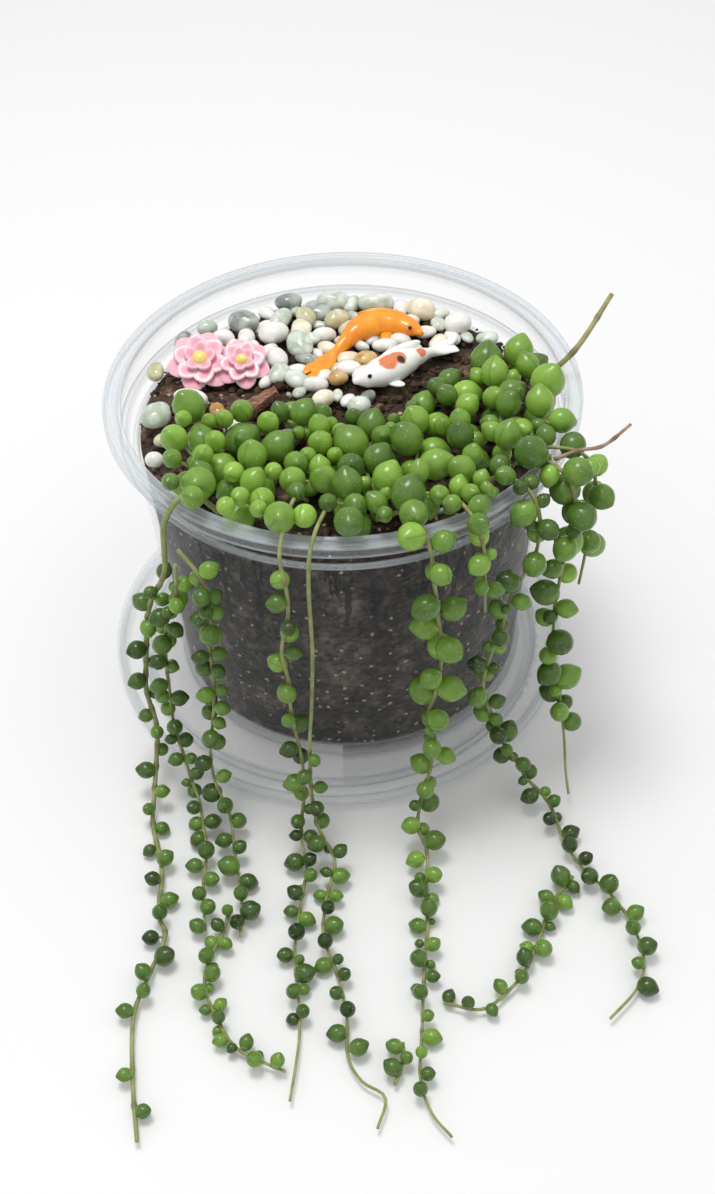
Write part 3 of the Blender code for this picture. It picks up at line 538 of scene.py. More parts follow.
def buildBlossoms():
    p = blossomPlan
    # Cast resin with a glossy clear coat, pink that pales towards the petal edges.
    pink, tree, shader = startMaterial("pink cast resin", 0.28, Coat_Weight=0.3)
    shader.inputs["Subsurface Weight"].default_value = 0.2
    shader.inputs["Subsurface Scale"].default_value = 0.001
    edge = addNode(tree, "ShaderNodeAttribute", {"attribute_name": "edge"})
    coords = addNode(tree, "ShaderNodeTexCoord")
    mottle = addNode(tree, "ShaderNodeTexNoise", {"Scale": 300.0, "Detail": 3.0},
                     {"Vector": coords.outputs["Object"]})
    blend = addNode(tree, "ShaderNodeMath", {"operation": "MULTIPLY_ADD", 1: 0.35},
                    {0: mottle.outputs["Fac"], 2: edge.outputs["Fac"]})
    stops = [(0.15, srgb(p["deep"])), (0.55, srgb(p["pink"])), (1.0, srgb(p["pale"]))]
    colour = addNode(tree, "ShaderNodeValToRGB", {"stops": stops}, {"Fac": blend.outputs["Value"]})
    tree.links.new(colour.outputs["Color"], shader.inputs["Base Color"])
    yellow, tree, shader = startMaterial("yellow enamel dot", 0.25, Coat_Weight=0.3)
    coords = addNode(tree, "ShaderNodeTexCoord")
    dimples = addNode(tree, "ShaderNodeTexVoronoi", {"Scale": 900.0}, {"Vector": coords.outputs["Object"]})
    stops = [(0.0, srgb(p["butter"])), (0.8, srgb(p["yellow"]))]
    colour = addNode(tree, "ShaderNodeValToRGB", {"stops": stops}, {"Fac": dimples.outputs["Distance"]})
    tree.links.new(colour.outputs["Color"], shader.inputs["Base Color"])
    bm = bmesh.new()
    edgeLayer = bm.verts.layers.float.new("edge")
    for middle, radius, turn in p["heads"]:
        stand = Matrix.Translation(middle) @ Matrix.Rotation(math.radians(p["tilt"]), 4, "X")
        for row, (count, out, length, lift, rise) in enumerate(p["rows"]):
            for i in range(count):
                spin = Matrix.Rotation(math.radians(turn) + math.tau * (i + 0.5 * row) / count, 4, "Z")
                cup = Matrix.Translation((radius * out, 0, lift)) @ Matrix.Rotation(-math.radians(rise), 4, "Y")
                form = Matrix.Diagonal((radius * length, radius * length * 0.92, 1.0, 1.0))
                made = bmesh.ops.create_uvsphere(bm, u_segments=14, v_segments=8, radius=1.0)
                for vert in made["verts"]:
                    away = math.hypot(vert.co.x - 0.2, vert.co.y)
                    vert.co.z += 0.8 * away * away * (1.0 if vert.co.z > -0.9 else 0.6)
                    vert.co.x *= 1.0 + 0.1 * math.cos(3.0 * math.atan2(vert.co.y, vert.co.x))
                    vert[edgeLayer] = away * away
                bmesh.ops.transform(bm, matrix=stand @ spin @ cup @ form, verts=made["verts"])
        core = Matrix.Translation((0, 0, 0.9)) @ Matrix.Diagonal((radius * 0.27, radius * 0.27, 1.7, 1.0))
        made = bmesh.ops.create_uvsphere(bm, u_segments=16, v_segments=10, radius=1.0, matrix=stand @ core)
        colourFaces(made["verts"], 1)
        under = Matrix.Translation((0, 0, -1.6)) @ Matrix.Diagonal((radius * 0.62, radius * 0.62, 1.6, 1.0))
        bmesh.ops.create_uvsphere(bm, u_segments=18, v_segments=8, radius=1.0, matrix=stand @ under)
    finishPiece(bm, "resin_blossoms", [pink, yellow], "pink_resin", "blossoms", subdivide=1)


buildBlossoms()
print("blossoms made")

# Resin koi
def smoothRoute(points, step):  # points a fixed distance apart on a smooth curve through the given ones
    marks = [Vector(point) for point in points]
    marks = [2.0 * marks[0] - marks[1]] + marks + [2.0 * marks[-1] - marks[-2]]
    fine = []
    for a, b, c, d in zip(marks, marks[1:], marks[2:], marks[3:]):
        for i in range(10):
            t = i / 10.0
            fine.append(0.5 * (2.0 * b + (c - a) * t + (2.0 * a - 5.0 * b + 4.0 * c - d) * t * t
                               + (3.0 * b - a - 3.0 * c + d) * t * t * t))
    fine.append(marks[-2])
    lengths = [0.0]
    for a, b in zip(fine, fine[1:]):
        lengths.append(lengths[-1] + (b - a).length)
    count = max(2, round(lengths[-1] / step))
    route = []
    k = 0
    for i in range(count + 1):
        goal = lengths[-1] * i / count
        while k < len(fine) - 2 and lengths[k + 1] < goal:
            k += 1
        share = (goal - lengths[k]) / (lengths[k + 1] - lengths[k])
        route.append(fine[k].lerp(fine[k + 1], min(share, 1.0)))
    return route


def frameAcross(ahead):  # two directions square to the given one
    side = ahead.cross(Vector((0.0, 0.0, 1.0)))
    if side.length < 0.05:
        side = ahead.cross(Vector((1.0, 0.0, 0.0)))
    side.normalize()
    return side, side.cross(ahead).normalized()


def extrudeAlong(bm, route, sizeOf, segments=10):  # a ring drawn along a route, closed at both ends
    ring = bmesh.ops.create_circle(bm, segments=segments, radius=1.0)["verts"]
    forms = [Vector(vert.co) for vert in ring]
    edges = list(dict.fromkeys(edge for vert in ring for edge in vert.link_edges))
    first = ring
    rings = []
    side = frameAcross((route[1] - route[0]).normalized())[0]
    for i, point in enumerate(route):
        ahead = (route[min(i + 1, len(route) - 1)] - route[max(i - 1, 0)]).normalized()
        side = (side - ahead * side.dot(ahead)).normalized()
        lift = side.cross(ahead)
        wide, high = sizeOf(i)
        if i:
            grown = bmesh.ops.extrude_edge_only(bm, edges=edges)["geom"]
            fresh = {item for item in grown if isinstance(item, bmesh.types.BMVert)}
            edges = [item for item in grown
                     if isinstance(item, bmesh.types.BMEdge) and set(item.verts) <= fresh]
            ring = [next(edge.other_vert(vert) for edge in vert.link_edges if edge.other_vert(vert) in fresh)
                    for vert in ring]  # each new vertex next to the one it grew from
        for vert, form in zip(ring, forms):
            vert.co = point + side * (form.x * wide) + lift * (form.y * high)
        rings.append(ring)
    bm.faces.new(first)
    bm.faces.new(ring)
    return rings


def blendSections(share, grow=1.0):
    spot = share * (len(koiSections) - 1)
    k = min(int(spot), len(koiSections) - 2)
    t = spot - k
    t = t * t * (3.0 - 2.0 * t)
    return tuple(grow * (koiSections[k][i] * (1 - t) + koiSections[k + 1][i] * t) for i in (0, 1))


def addOval(bm, centre, size, turn, tilt=0.0, roll=0.0, segments=14):
    place = (Matrix.Translation(centre) @ Matrix.Rotation(math.radians(turn), 4, "Z")
             @ Matrix.Rotation(math.radians(tilt), 4, "Y") @ Matrix.Rotation(math.radians(roll), 4, "X"))
    return bmesh.ops.create_uvsphere(bm, u_segments=segments, v_segments=8, radius=1.0,
                                     matrix=place @ Matrix.Diagonal((*size, 1.0)))["verts"]


def makeResin(name, base, shade, patches=()):  # cast resin, glossy, with hand-painted patches
    material, tree, shader = startMaterial(name, 0.24, Coat_Weight=0.35)
    shader.inputs["Subsurface Weight"].default_value = 0.15
    shader.inputs["Subsurface Scale"].default_value = 0.001
    coords = addNode(tree, "ShaderNodeTexCoord")
    cloud = addNode(tree, "ShaderNodeTexNoise", {"Scale": 180.0, "Detail": 3.0},
                    {"Vector": coords.outputs["Object"]})
    colour = addNode(tree, "ShaderNodeValToRGB", {"stops": [(0.35, srgb(shade)), (0.65, srgb(base))]},
                     {"Fac": cloud.outputs["Fac"]}).outputs["Color"]
    for centre, radius, paint in patches:
        away = addNode(tree, "ShaderNodeVectorMath", {"operation": "DISTANCE", 1: [c * mm for c in centre]},
                       {0: coords.outputs["Object"]})
        ragged = addNode(tree, "ShaderNodeMath", {"operation": "MULTIPLY_ADD", 1: 0.003},
                         {0: cloud.outputs["Fac"], 2: away.outputs["Value"]})
        reach = radius * mm
        fade = {"From Min": reach + 0.0012, "From Max": reach + 0.0017, "To Min": 1.0, "To Max": 0.0}
        inside = addNode(tree, "ShaderNodeMapRange", fade, {"Value": ragged.outputs["Value"]})
        colour = addNode(tree, "ShaderNodeMix", {"data_type": "RGBA", 7: srgb(paint)},
                         {0: inside.outputs["Result"], 6: colour}).outputs[2]
    tree.links.new(colour, shader.inputs["Base Color"])
    return material


# Black enamel for the eyes.
blackEnamel, _, blackShader = startMaterial("black enamel", 0.15)
blackShader.inputs["Base Color"].default_value = srgb("141210")


koiPatches = [  # painted marks on the white koi: middle, radius, colour
    ((11.8, 11.8, 85.2), 2.6, "E0824F"), ((14.4, 13.4, 85.4), 2.2, "E0824F"),
    ((20.8, 17.6, 84.6), 2.0, "E0824F"), ((15.0, 12.6, 85.2), 1.1, "1C1614"), ((12.4, 11.0, 84.9), 0.5, "1C1614"),
]


def buildKoi():  # a body drawn along its spine, then fins, tail and eye
    orange = makeResin("orange cast resin", "FFA51C", "F68A0A")
    bm = bmesh.new()
    route = smoothRoute(orangeSpine, 0.9)
    extrudeAlong(bm, route, lambda i: blendSections(i / (len(route) - 1)), segments=16)
    addOval(bm, (9.5, 33.6, 85.0), (5.2, 0.8, 1.2), 0, 0)
    addOval(bm, (12.0, 28.6, 81.6), (2.8, 1.5, 0.5), -110, 10)
    addOval(bm, (-6.4, 14.4, 80.2), (3.2, 1.3, 0.5), 20)
    addOval(bm, (-8.6, 17.2, 80.2), (2.6, 1.2, 0.5), 70)
    eye = addOval(bm, (18.2, 28.2, 83.8), (0.55, 0.55, 0.55), 0)
    colourFaces(eye, 1)
    bmesh.ops.recalc_face_normals(bm, faces=bm.faces)
    finishPiece(bm, "koi_orange", [orange, blackEnamel], "orange_resin", "orange_koi", subdivide=1)
    white = makeResin("white cast resin", "FBFAF7", "F0EEEA", koiPatches)
    bm = bmesh.new()
    route = smoothRoute(whiteSpine, 0.9)
    extrudeAlong(bm, route, lambda i: blendSections(i / (len(route) - 1), 1.05), segments=16)
    addOval(bm, (15.0, 18.0, 84.2), (7.0, 1.5, 1.6), 33, 0)
    addOval(bm, (13.6, 8.6, 81.0), (2.6, 1.4, 0.6), -20)
    addOval(bm, (29.2, 26.4, 81.2), (3.0, 1.4, 0.7), 70)
    eye = addOval(bm, (7.0, 8.1, 83.9), (0.6, 0.6, 0.6), 0)
    colourFaces(eye, 1)
    bmesh.ops.recalc_face_normals(bm, faces=bm.faces)
    finishPiece(bm, "koi_white", [white, blackEnamel], "white_resin", "white_koi", subdivide=1)


buildKoi()
print("koi made")

# Plant
trailing = [  # name, points the stem runs through, first and last distance with pearls, spacing, radii
    ("strand_a1", [
        (-29, -38.5, 81), (-33.5, -40, 88), (-37, -43.5, 91.4),
        (-41, -47, 87), (-42, -47.5, 78), (-43, -46.5, 70),
        (-48, -42.5, 57), (-50, -41, 48), (-52, -40.5, 34),
        (-53, -42, 24), (-51, -47, 16), (-51.5, -53, 9),
        (-52, -61, 5), (-52, -69, 3), (-49, -82, 2.5),
        (-49, -95, 2.3), (-47, -101, 2.3), (-50, -111, 2.3),
        (-53, -122, 2.3), (-52, -138, 2.3), (-50, -152, 2.3),
    ], 40, 176, 5.2, 2.2, 2.1),
    ("strand_a2", [
        (-39.5, -50.5, 77), (-40.5, -50, 66), (-44, -47.5, 55), (-45.5, -46.5, 45), (-46, -46.5, 38),
        (-46, -48, 30), (-46, -50, 23), (-44, -55, 15), (-42, -60, 10), (-40, -65, 7), (-39, -71, 4.5),
        (-38, -78, 2.8), (-38.5, -88, 2.4), (-37.5, -100, 2.3),
    ], 7, 118, 4.3, 2.2, 2.1),
    ("strand_a3", [
        (-38.4, -51, 82), (-36, -52, 79), (-33, -54, 74),
        (-33, -54.5, 65), (-34, -54.5, 58), (-33.5, -55.5, 50),
        (-34, -57, 36), (-36, -60, 22), (-35.5, -64, 14),
        (-32, -70, 7), (-31, -78, 3.6), (-29, -91, 2.4),
        (-29, -102, 2.3),
    ], 8, 112, 4.1, 2.3, 2.2),
    ("strand_a4", [
        (-31.5, -93.5, 2.5), (-33, -100, 2.3), (-36, -108, 2.3), (-37, -115, 2.3), (-34, -123, 2.3),
        (-30, -130, 2.3), (-25, -133.5, 2.3), (-18, -137, 2.3),
    ], 2, 50, 4.2, 2.1, 1.7),
    ("strand_b1", [
        (-9, -36, 82), (-11, -42, 89), (-12.5, -49, 92),
        (-14, -56, 92), (-15, -61, 88), (-14, -62.5, 80),
        (-14, -63, 72), (-16, -63.5, 61), (-15, -63.5, 50),
        (-15, -64, 41), (-14, -65, 31), (-13, -66.5, 22),
        (-13, -69, 14), (-14, -73, 8), (-14, -78, 5),
        (-13, -84, 3.2), (-15, -97, 2.4), (-16, -108, 2.3),
        (-15, -120, 2.3), (-15, -130, 2.3), (-17, -144, 2.3),
    ], 38, 165, 5.4, 2.2, 2.0),
    ("strand_b2", [
        (-5, -42, 84), (-5, -50, 91), (-7, -57, 91.8),
        (-8.5, -61, 88), (-9, -62.5, 80), (-9, -63.5, 70),
        (-9, -64, 60), (-10, -65, 42), (-11, -68, 30), (-11, -72, 17), (-9.5, -77, 9.5), (-6, -83, 5.5),
        (-7, -88, 3.5), (-8.5, -94, 2.5), (-9, -103, 2.3),
        (-6, -113, 2.3), (-4, -124, 2.3), (-4, -134, 2.3),
        (-1, -140, 2.3), (4, -144, 2.3), (2, -151, 2.3),
    ], 84, 164, 4.6, 2.1, 2.0),
    ("strand_b3", [(6.2, -141, 2.3), (8, -136.5, 2.3), (8.6, -131, 2.3)], 3, 9, 4.0, 1.9, 1.8),
    ("strand_c1", [
        (10, -44, 84), (13, -50.5, 91), (16, -56.5, 91.8),
        (18, -60.5, 88), (19, -61.5, 78), (20, -62, 67),
        (21, -62, 58), (20, -63, 46), (18, -64, 37), (19, -65.5, 27), (18.5, -67, 20), (16.5, -70, 13),
        (15, -75, 7.5), (17, -82, 4.5), (16, -93, 2.6),
        (16, -100, 2.3), (14.5, -112, 2.3), (13, -128, 2.3),
        (12, -140, 2.3), (14, -148, 2.3), (18, -153.5, 2.3),
    ], 8, 176, 4.7, 4.0, 1.9),
    ("strand_c2", [
        (23.5, -41.5, 85), (25, -48.5, 91.6), (28.3, -56, 91.8),
        (30, -58.6, 85), (30.5, -58, 75), (31, -57.5, 65),
    ], 7, 38, 4.0, 2.8, 2.3),
    ("strand_d1", [
        (31, -35, 84), (35.5, -40.5, 91.6), (41, -46.2, 91.6),
        (43.4, -49.2, 85), (42.5, -49.5, 73), (38.5, -51.5, 67),
        (37, -52.5, 61), (35, -55, 54), (32.5, -57.5, 48),
        (31.5, -58.5, 40), (34, -58.5, 29), (37, -59, 20),
        (41, -60.5, 12.5), (44, -63, 8.2), (48, -66.5, 5.2),
        (50, -71, 3.6), (51.5, -78, 2.8), (55, -86, 2.4),
        (61, -94, 2.3), (65, -103, 2.3), (66, -113, 2.3), (63, -120, 2.3), (56, -127, 2.3),
    ], 8, 172, 4.5, 2.7, 2.0),
    ("strand_d2", [
        (52.4, -88.5, 2.4), (46.5, -96, 2.3), (42, -106, 2.3), (38, -114, 2.3), (33, -119.5, 2.3),
        (27, -123.5, 2.3), (18.5, -121.5, 2.3),
    ], 3, 52, 4.8, 2.2, 1.6),
    ("strand_d3", [
        (39.5, -30.5, 86.5), (44, -35.5, 92.4), (50, -41.2, 91.4),
        (52.2, -43, 84), (51.8, -42, 74), (51, -41.5, 62), (50, -43, 52),
        (50, -44.5, 41), (51, -45.5, 31), (53, -48, 21), (54, -53, 12), (54, -59, 7), (54.2, -65, 4.6),
    ], 8, 96, 4.6, 3.3, 2.4),
    ("strand_d4", [
        (42, -28, 87.5), (47, -31, 91.6), (54.5, -33.6, 91.4),
        (58, -34, 84), (58, -33, 73), (58, -33.5, 62), (57, -34.5, 50),
    ], 7, 46, 5.0, 2.6, 2.8),
]
crown = [
    ("crown_1", [
        (-28, -14, 80), (-32, -21, 84), (-34.5, -28, 85.5), (-32, -33, 86),
    ], 0, 27, 4.2, 5.2, 3.7),
    ("crown_2", [
        (-18, -16, 80), (-20, -25, 84.5), (-24, -34, 86), (-21, -44, 87.5),
    ], 1, 33, 3.9, 4.2, 3.8),
    ("crown_3", [(-15, -3, 80), (-12, -10, 84), (-5, -16, 85)], 0, 17, 3.6, 2.6, 3.9),
    ("crown_4", [
        (-9, -24, 80), (-5, -33, 85), (-1, -41, 87.5), (2.5, -49, 90.4),
    ], 2, 30, 3.6, 3.0, 4.6),
    ("crown_5", [
        (5, -12, 80), (6, -21, 84.5), (5, -31, 86), (7, -40, 87.5), (9, -48, 89.8),
    ], 3, 42, 3.5, 4.4, 3.6),
    ("crown_6", [
        (17, -4, 80), (19, -14, 84.5), (17, -25, 86), (17, -35, 87), (17.5, -44, 90),
    ], 3, 43, 3.5, 4.0, 4.1),
    ("crown_7", [
        (24, 7, 80), (27, -3, 84.5), (29, -14, 86), (28, -26, 87), (29, -37, 88), (31.5, -47.5, 91.4),
    ], 3, 60, 3.4, 3.6, 3.5),
    ("crown_8", [
        (34, 12, 80), (37, 2, 84.5), (38, -10, 87), (37, -21, 88), (37, -30, 90),
    ], 3, 47, 3.5, 4.4, 3.4),
    ("crown_9", [
        (43, 15, 80), (46, 6, 85), (47, -6, 88), (46, -17, 90), (47.5, -24, 93),
    ], 3, 46, 3.6, 4.6, 4.0),
]
crowded = {  # strand: the stretch with extra leaves between the others, and their size
    "strand_a1": (191, 200, 0.9), "strand_a2": (10, 90, 0.85),
    "strand_a3": (10, 60, 0.85), "strand_a4": (5, 45, 0.7),
    "strand_b1": (110, 165, 0.8), "strand_b2": (110, 160, 0.8),
    "strand_c1": (30, 150, 0.7), "strand_c2": (7, 36, 0.7),
    "strand_d1": (10, 120, 0.7), "strand_d2": (2, 30, 0.9), "strand_d3": (8, 90, 0.75),
}
pearlGrowth = {  # how much fuller the leaves are than at first seated: by strand, then for the others
    "strand_d3": 1.34, "strand_d4": 1.4, "strand_c1": 1.08, "crown": 1.06, "strand": 1.16,
}
pearlTones = {  # how light the leaves are: by strand or shoot, then for the others
    "strand_c1": 0.44, "strand_c2": 0.5, "strand_d3": 0.38, "strand_d4": 0.4, "crown_1": 0.5, "crown_2": 0.5,
    "crown_4": 0.46, "crown": 0.42, "strand": 0.3,
}
rimFill = {  # young leaves packed between the shoots, over the front of the soil and onto the rim
    "seed": 11, "tries": 2600, "most": 50, "left": -41.0, "right": 50.0, "front": -57.0, "back": -8.0,
    "small": 2.4, "large": 4.5, "low": 84.0, "rise": 9.0, "overlap": 0.74,
    "curve": 1.3, "lift": 0.4, "shrink": 0.3, "inset": 1.0, "upright": 30.0, "outward": 0.3,
}
bareStem = [(46.5, 2.6, 78.6), (50.5, 1.6, 86.5), (57.5, 1.0, 96), (66.5, 11, 104)]
dryTwig = [(47.5, -36.5, 92.5), (53, -36, 94.5), (59, -34, 94), (66, -28, 95)]
plantSize = {
    "stem": 0.7, "stemStep": 8.0, "crownStep": 5.0, "tip": 1.12, "sink": 0.25, "tipBall": 0.4, "soil": 78.0,
    "golden": math.radians(137.5), "seed": 7, "gap": 0.3, "floor": 0.1, "skirtRoom": 1.2, "stemRoom": 0.5,
    "roomStep": 1.5, "koiRoom": 4.0, "tries": 24, "fullTries": 12, "smaller": 0.8, "sizes": (0.86, 1.1),
    "drift": 0.25, "crownExtra": (0.8, 0.66, 0.55), "crownSpacing": 0.8, "strandSpacing": 1.3,
}


def sideRadius(height):
    p = potSize
    if height > p["top"] - p["skirt"]:
        return p["rim"]
    if height > p["ledgeTop"] - p["ledgeStep"] - plantSize["skirtRoom"]:
        return p["mouth"] + plantSize["skirtRoom"]
    return p["base"] + (p["bodyTop"] - p["base"]) * height / (p["ledgeTop"] - p["ledgeStep"])


def distanceToRim(point):
    p = potSize
    out = point.xy.length
    across = max(p["mouth"] - out, 0.0, out - p["rim"])
    above = max(p["top"] - p["skirt"] - point.z, 0.0, point.z - p["top"])
    return math.hypot(across, above)


class Room:  # balls that stand for what is already in place, each with its owner's name
    def __init__(self):
        self.balls = []

    def add(self, owner, centre, radius):
        self.balls.append((owner, centre, radius))

    def addRoute(self, owner, points):
        for point in smoothRoute(points, plantSize["roomStep"]):
            self.add(owner, point, plantSize["stem"] + plantSize["stemRoom"])

    def isFree(self, owner, centre, radius):
        low = centre.z - radius
        out = centre.xy.length
        gap = plantSize["gap"]
        if low < plantSize["floor"] or (low < plantSize["soil"] + gap and out < potSize["mouth"]):
            return False
        if low < potSize["top"] + gap and potSize["mouth"] - radius - gap < out < potSize["rim"] + radius + gap:
            if distanceToRim(centre) < radius + gap:
                return False
        if centre.z < potSize["top"] and potSize["mouth"] <= out < sideRadius(centre.z) + radius + gap:
            return False
        fromSaucer = (centre.xy - Vector(saucerSize["shift"])).length
        if low < saucerSize["edge"] + gap and fromSaucer < saucerSize["radius"] + radius + gap:
            return False
        return all(other == owner or (centre - middle).length >= radius + reach + gap
                   for other, middle, reach in self.balls)


def pointAlong(route, distance):
    for a, b in zip(route, route[1:]):
        length = (b - a).length
        if distance <= length:
            break
        distance -= length
    return a.lerp(b, min(max(distance / length, 0.0), 1.0)), (b - a).normalized()


def seatPearls(room, chance, name, route, first, last, spacing, nearRadius, farRadius, seats):
    p = plantSize
    reach = 0.5 * (nearRadius + farRadius)
    count = round((last - first) / spacing)
    turn = chance.uniform(0.0, math.tau)
    for i in range(count + 1):
        share = i / max(count, 1)
        radius = (nearRadius + (farRadius - nearRadius) * share) * chance.uniform(*p["sizes"])
        along = first + (last - first) * share + chance.uniform(-p["drift"], p["drift"]) * reach
        foot, heading = pointAlong(route, along)
        side, lift = frameAcross(heading)
        turn += p["golden"]
        for attempt in range(p["tries"]):
            angle = turn + attempt * p["golden"]
            size = radius * (1.0 if attempt < p["fullTries"] else p["smaller"])
            ahead = side * math.cos(angle) + lift * math.sin(angle)
            centre = foot + ahead * (size + p["sink"])
            tip = centre + ahead * (size * p["tip"])
            apart = all((centre - seat[0]).length > size + seat[2] + p["sink"] for seat in seats)
            if apart and room.isFree(name, centre, size) and room.isFree(name, tip, p["tipBall"]):
                seats.append((centre, ahead, size, along))
                room.add(name, centre, size)
                room.add(name, tip, p["tipBall"])
                turn = angle
                break


# Fleshy round leaves: smooth waxy skin over wet green tissue, a clear slit down one side, pale pin-prick dots.
pearlFinish = {
    "deep": "2A3D18", "mid": "587A2F", "bright": "90BA46", "lime": "BDD668", "slit": "33501F", "dot": "E8F2D8",
    "dotMm": 0.95, "mottleMm": 2.5,
}


def makePearlSkin():
    f = pearlFinish
    material, tree, shader = startMaterial("waxy pearl leaf", 0.24)
    shader.inputs["Subsurface Weight"].default_value = 0.12
    shader.inputs["Subsurface Radius"].default_value = (0.8, 1.0, 0.4)
    shader.inputs["Subsurface Scale"].default_value = 0.0012
    coords = addNode(tree, "ShaderNodeTexCoord")
    tone = addNode(tree, "ShaderNodeAttribute", {"attribute_name": "tone"})
    local = addNode(tree, "ShaderNodeAttribute", {"attribute_name": "local"})
    parts = addNode(tree, "ShaderNodeSeparateXYZ", {}, {"Vector": local.outputs["Vector"]})
    mottle = addNode(tree, "ShaderNodeTexNoise", {"Scale": 1000 / f["mottleMm"], "Detail": 3.0},
                     {"Vector": coords.outputs["Object"]})
    level = addNode(tree, "ShaderNodeMath", {"operation": "MULTIPLY_ADD", 1: 0.22},
                    {0: mottle.outputs["Fac"], 2: tone.outputs["Fac"]})
    level = addNode(tree, "ShaderNodeMath", {"operation": "MULTIPLY_ADD", 1: -0.07},
                    {0: parts.outputs["Z"], 2: level.outputs["Value"]})
    stops = [(0.08, srgb(f["deep"])), (0.38, srgb(f["mid"])), (0.72, srgb(f["bright"])), (1.0, srgb(f["lime"]))]
    skin = addNode(tree, "ShaderNodeValToRGB", {"stops": stops}, {"Fac": level.outputs["Value"]})
    across = addNode(tree, "ShaderNodeMath", {"operation": "ABSOLUTE"}, {0: parts.outputs["Y"]})
    slit = addNode(tree, "ShaderNodeMapRange",
                   {"From Min": 0.03, "From Max": 0.11, "To Min": 0.3, "To Max": 0.0},
                   {"Value": across.outputs["Value"]})
    front = addNode(tree, "ShaderNodeMath", {"operation": "GREATER_THAN", 1: 0.1}, {0: parts.outputs["X"]})
    slit = addNode(tree, "ShaderNodeMath", {"operation": "MULTIPLY"},
                   {0: slit.outputs["Result"], 1: front.outputs["Value"]})
    lined = addNode(tree, "ShaderNodeMix", {"data_type": "RGBA", 7: srgb(f["slit"])},
                    {0: slit.outputs["Value"], 6: skin.outputs["Color"]})
    dots = addNode(tree, "ShaderNodeTexVoronoi", {"Scale": 1000 / f["dotMm"]},
                   {"Vector": coords.outputs["Object"]})
    dotted = addNode(tree, "ShaderNodeMapRange",
                     {"From Min": 0.07, "From Max": 0.13, "To Min": 0.5, "To Max": 0.0},
                     {"Value": dots.outputs["Distance"]})
    colour = addNode(tree, "ShaderNodeMix", {"data_type": "RGBA", 7: srgb(f["dot"])},
                     {0: dotted.outputs["Result"], 6: lined.outputs[2]})
    tree.links.new(colour.outputs[2], shader.inputs["Base Color"])
    bump = addNode(tree, "ShaderNodeBump", {"Strength": 0.12, "Distance": 0.0003},
                   {"Height": mottle.outputs["Fac"]})
    tree.links.new(bump.outputs["Normal"], shader.inputs["Normal"])
    return material


# Thin living stem: pale olive skin, browner and rougher at the joints where roots start.
stemFinish = {"green": "808A50", "pale": "A0A86C", "brown": "6E5A3E", "streakMm": 3.0}


def makeStemSkin(name, green, pale, brown):
    material, tree, shader = startMaterial(name, 0.55)
    coords = addNode(tree, "ShaderNodeTexCoord")
    node = addNode(tree, "ShaderNodeAttribute", {"attribute_name": "joint"})
    streak = addNode(tree, "ShaderNodeTexNoise", {"Scale": 1000 / stemFinish["streakMm"], "Detail": 4.0},
                     {"Vector": coords.outputs["Object"]})
    skin = addNode(tree, "ShaderNodeValToRGB", {"stops": [(0.35, srgb(green)), (0.65, srgb(pale))]},
                   {"Fac": streak.outputs["Fac"]})
    colour = addNode(tree, "ShaderNodeMix", {"data_type": "RGBA", 7: srgb(brown)},
                     {0: node.outputs["Fac"], 6: skin.outputs["Color"]})
    tree.links.new(colour.outputs[2], shader.inputs["Base Color"])
    bump = addNode(tree, "ShaderNodeBump", {"Strength": 0.4, "Distance": 0.0003},
                   {"Height": streak.outputs["Fac"]})
    tree.links.new(bump.outputs["Normal"], shader.inputs["Normal"])
    return material


pearlSkin = makePearlSkin()
stemSkin = makeStemSkin("pale green stem", stemFinish["green"], stemFinish["pale"], stemFinish["brown"])
woodySkin = makeStemSkin("woody green stem", "8A8652", "B0AA74", "6E5A3E")
drySkin = makeStemSkin("dry stem", "8C6E58", "B09680", "5A4028")
pearlShape = {
    "segments": 8, "rings": 6, "tipOut": 1.14, "lean": 0.3, "toneSpread": 0.18, "fadeLength": 140.0,
    "large": 2.8, "leastLarge": 0.62, "leastSmall": 0.8, "most": 1.1,
}


def addPearl(bm, layers, centre, ahead, radius, tone, spin):
    side, lift = frameAcross(ahead)
    upright = Matrix((side, lift, ahead)).transposed().to_4x4()
    place = Matrix.Translation(centre) @ upright @ Matrix.Rotation(spin, 4, "Z")
    p = pearlShape
    made = bmesh.ops.create_uvsphere(bm, u_segments=p["segments"], v_segments=p["rings"], radius=1.0)
    for vert in made["verts"]:
        polar = math.acos(max(-1.0, min(1.0, vert.co.z)))
        if 0.01 < polar < 1.0:  # the ring below the tip is drawn in, so that the leaf ends in a small point
            polar *= 0.1 + 0.86 * polar
            around = math.atan2(vert.co.y, vert.co.x)
            out = math.sin(polar)
            vert.co = Vector((out * math.cos(around), out * math.sin(around), math.cos(polar)))
        vert[layers["local"]] = vert.co
        vert[layers["tone"]] = tone
        if polar < 0.01:
            vert.co.z = p["tipOut"]
        vert.co = place @ (vert.co * radius)


def buildPearls(name, seats, baseTone, grow, fade, chance):
    bm = bmesh.new()
    layers = {"local": bm.verts.layers.float_vector.new("local"), "tone": bm.verts.layers.float.new("tone")}
    p = pearlShape
    for centre, ahead, radius, along in seats:
        lean = (ahead + Vector([chance.uniform(-p["lean"], p["lean"]) for _ in range(3)])).normalized()
        tone = baseTone + chance.uniform(-p["toneSpread"], p["toneSpread"])
        if along is not None:  # the leaves grow darker away from the pot
            tone = tone - fade * min(along, p["fadeLength"]) / p["fadeLength"]
        size = radius * grow
        if fade:
            least = p["leastLarge"] if radius > p["large"] else p["leastSmall"]
            size = size * chance.uniform(least, p["most"])
        lowest = size * max(1.0, -lean.z * p["tipOut"])  # keeps the leaf on top of the table
        centre = Vector((centre.x, centre.y, max(centre.z, lowest)))
        addPearl(bm, layers, centre, lean, size, tone, chance.uniform(0, math.tau))
    return finishPiece(bm, name + "_pearls", pearlSkin, "pearl_leaf", name, subdivide=1)


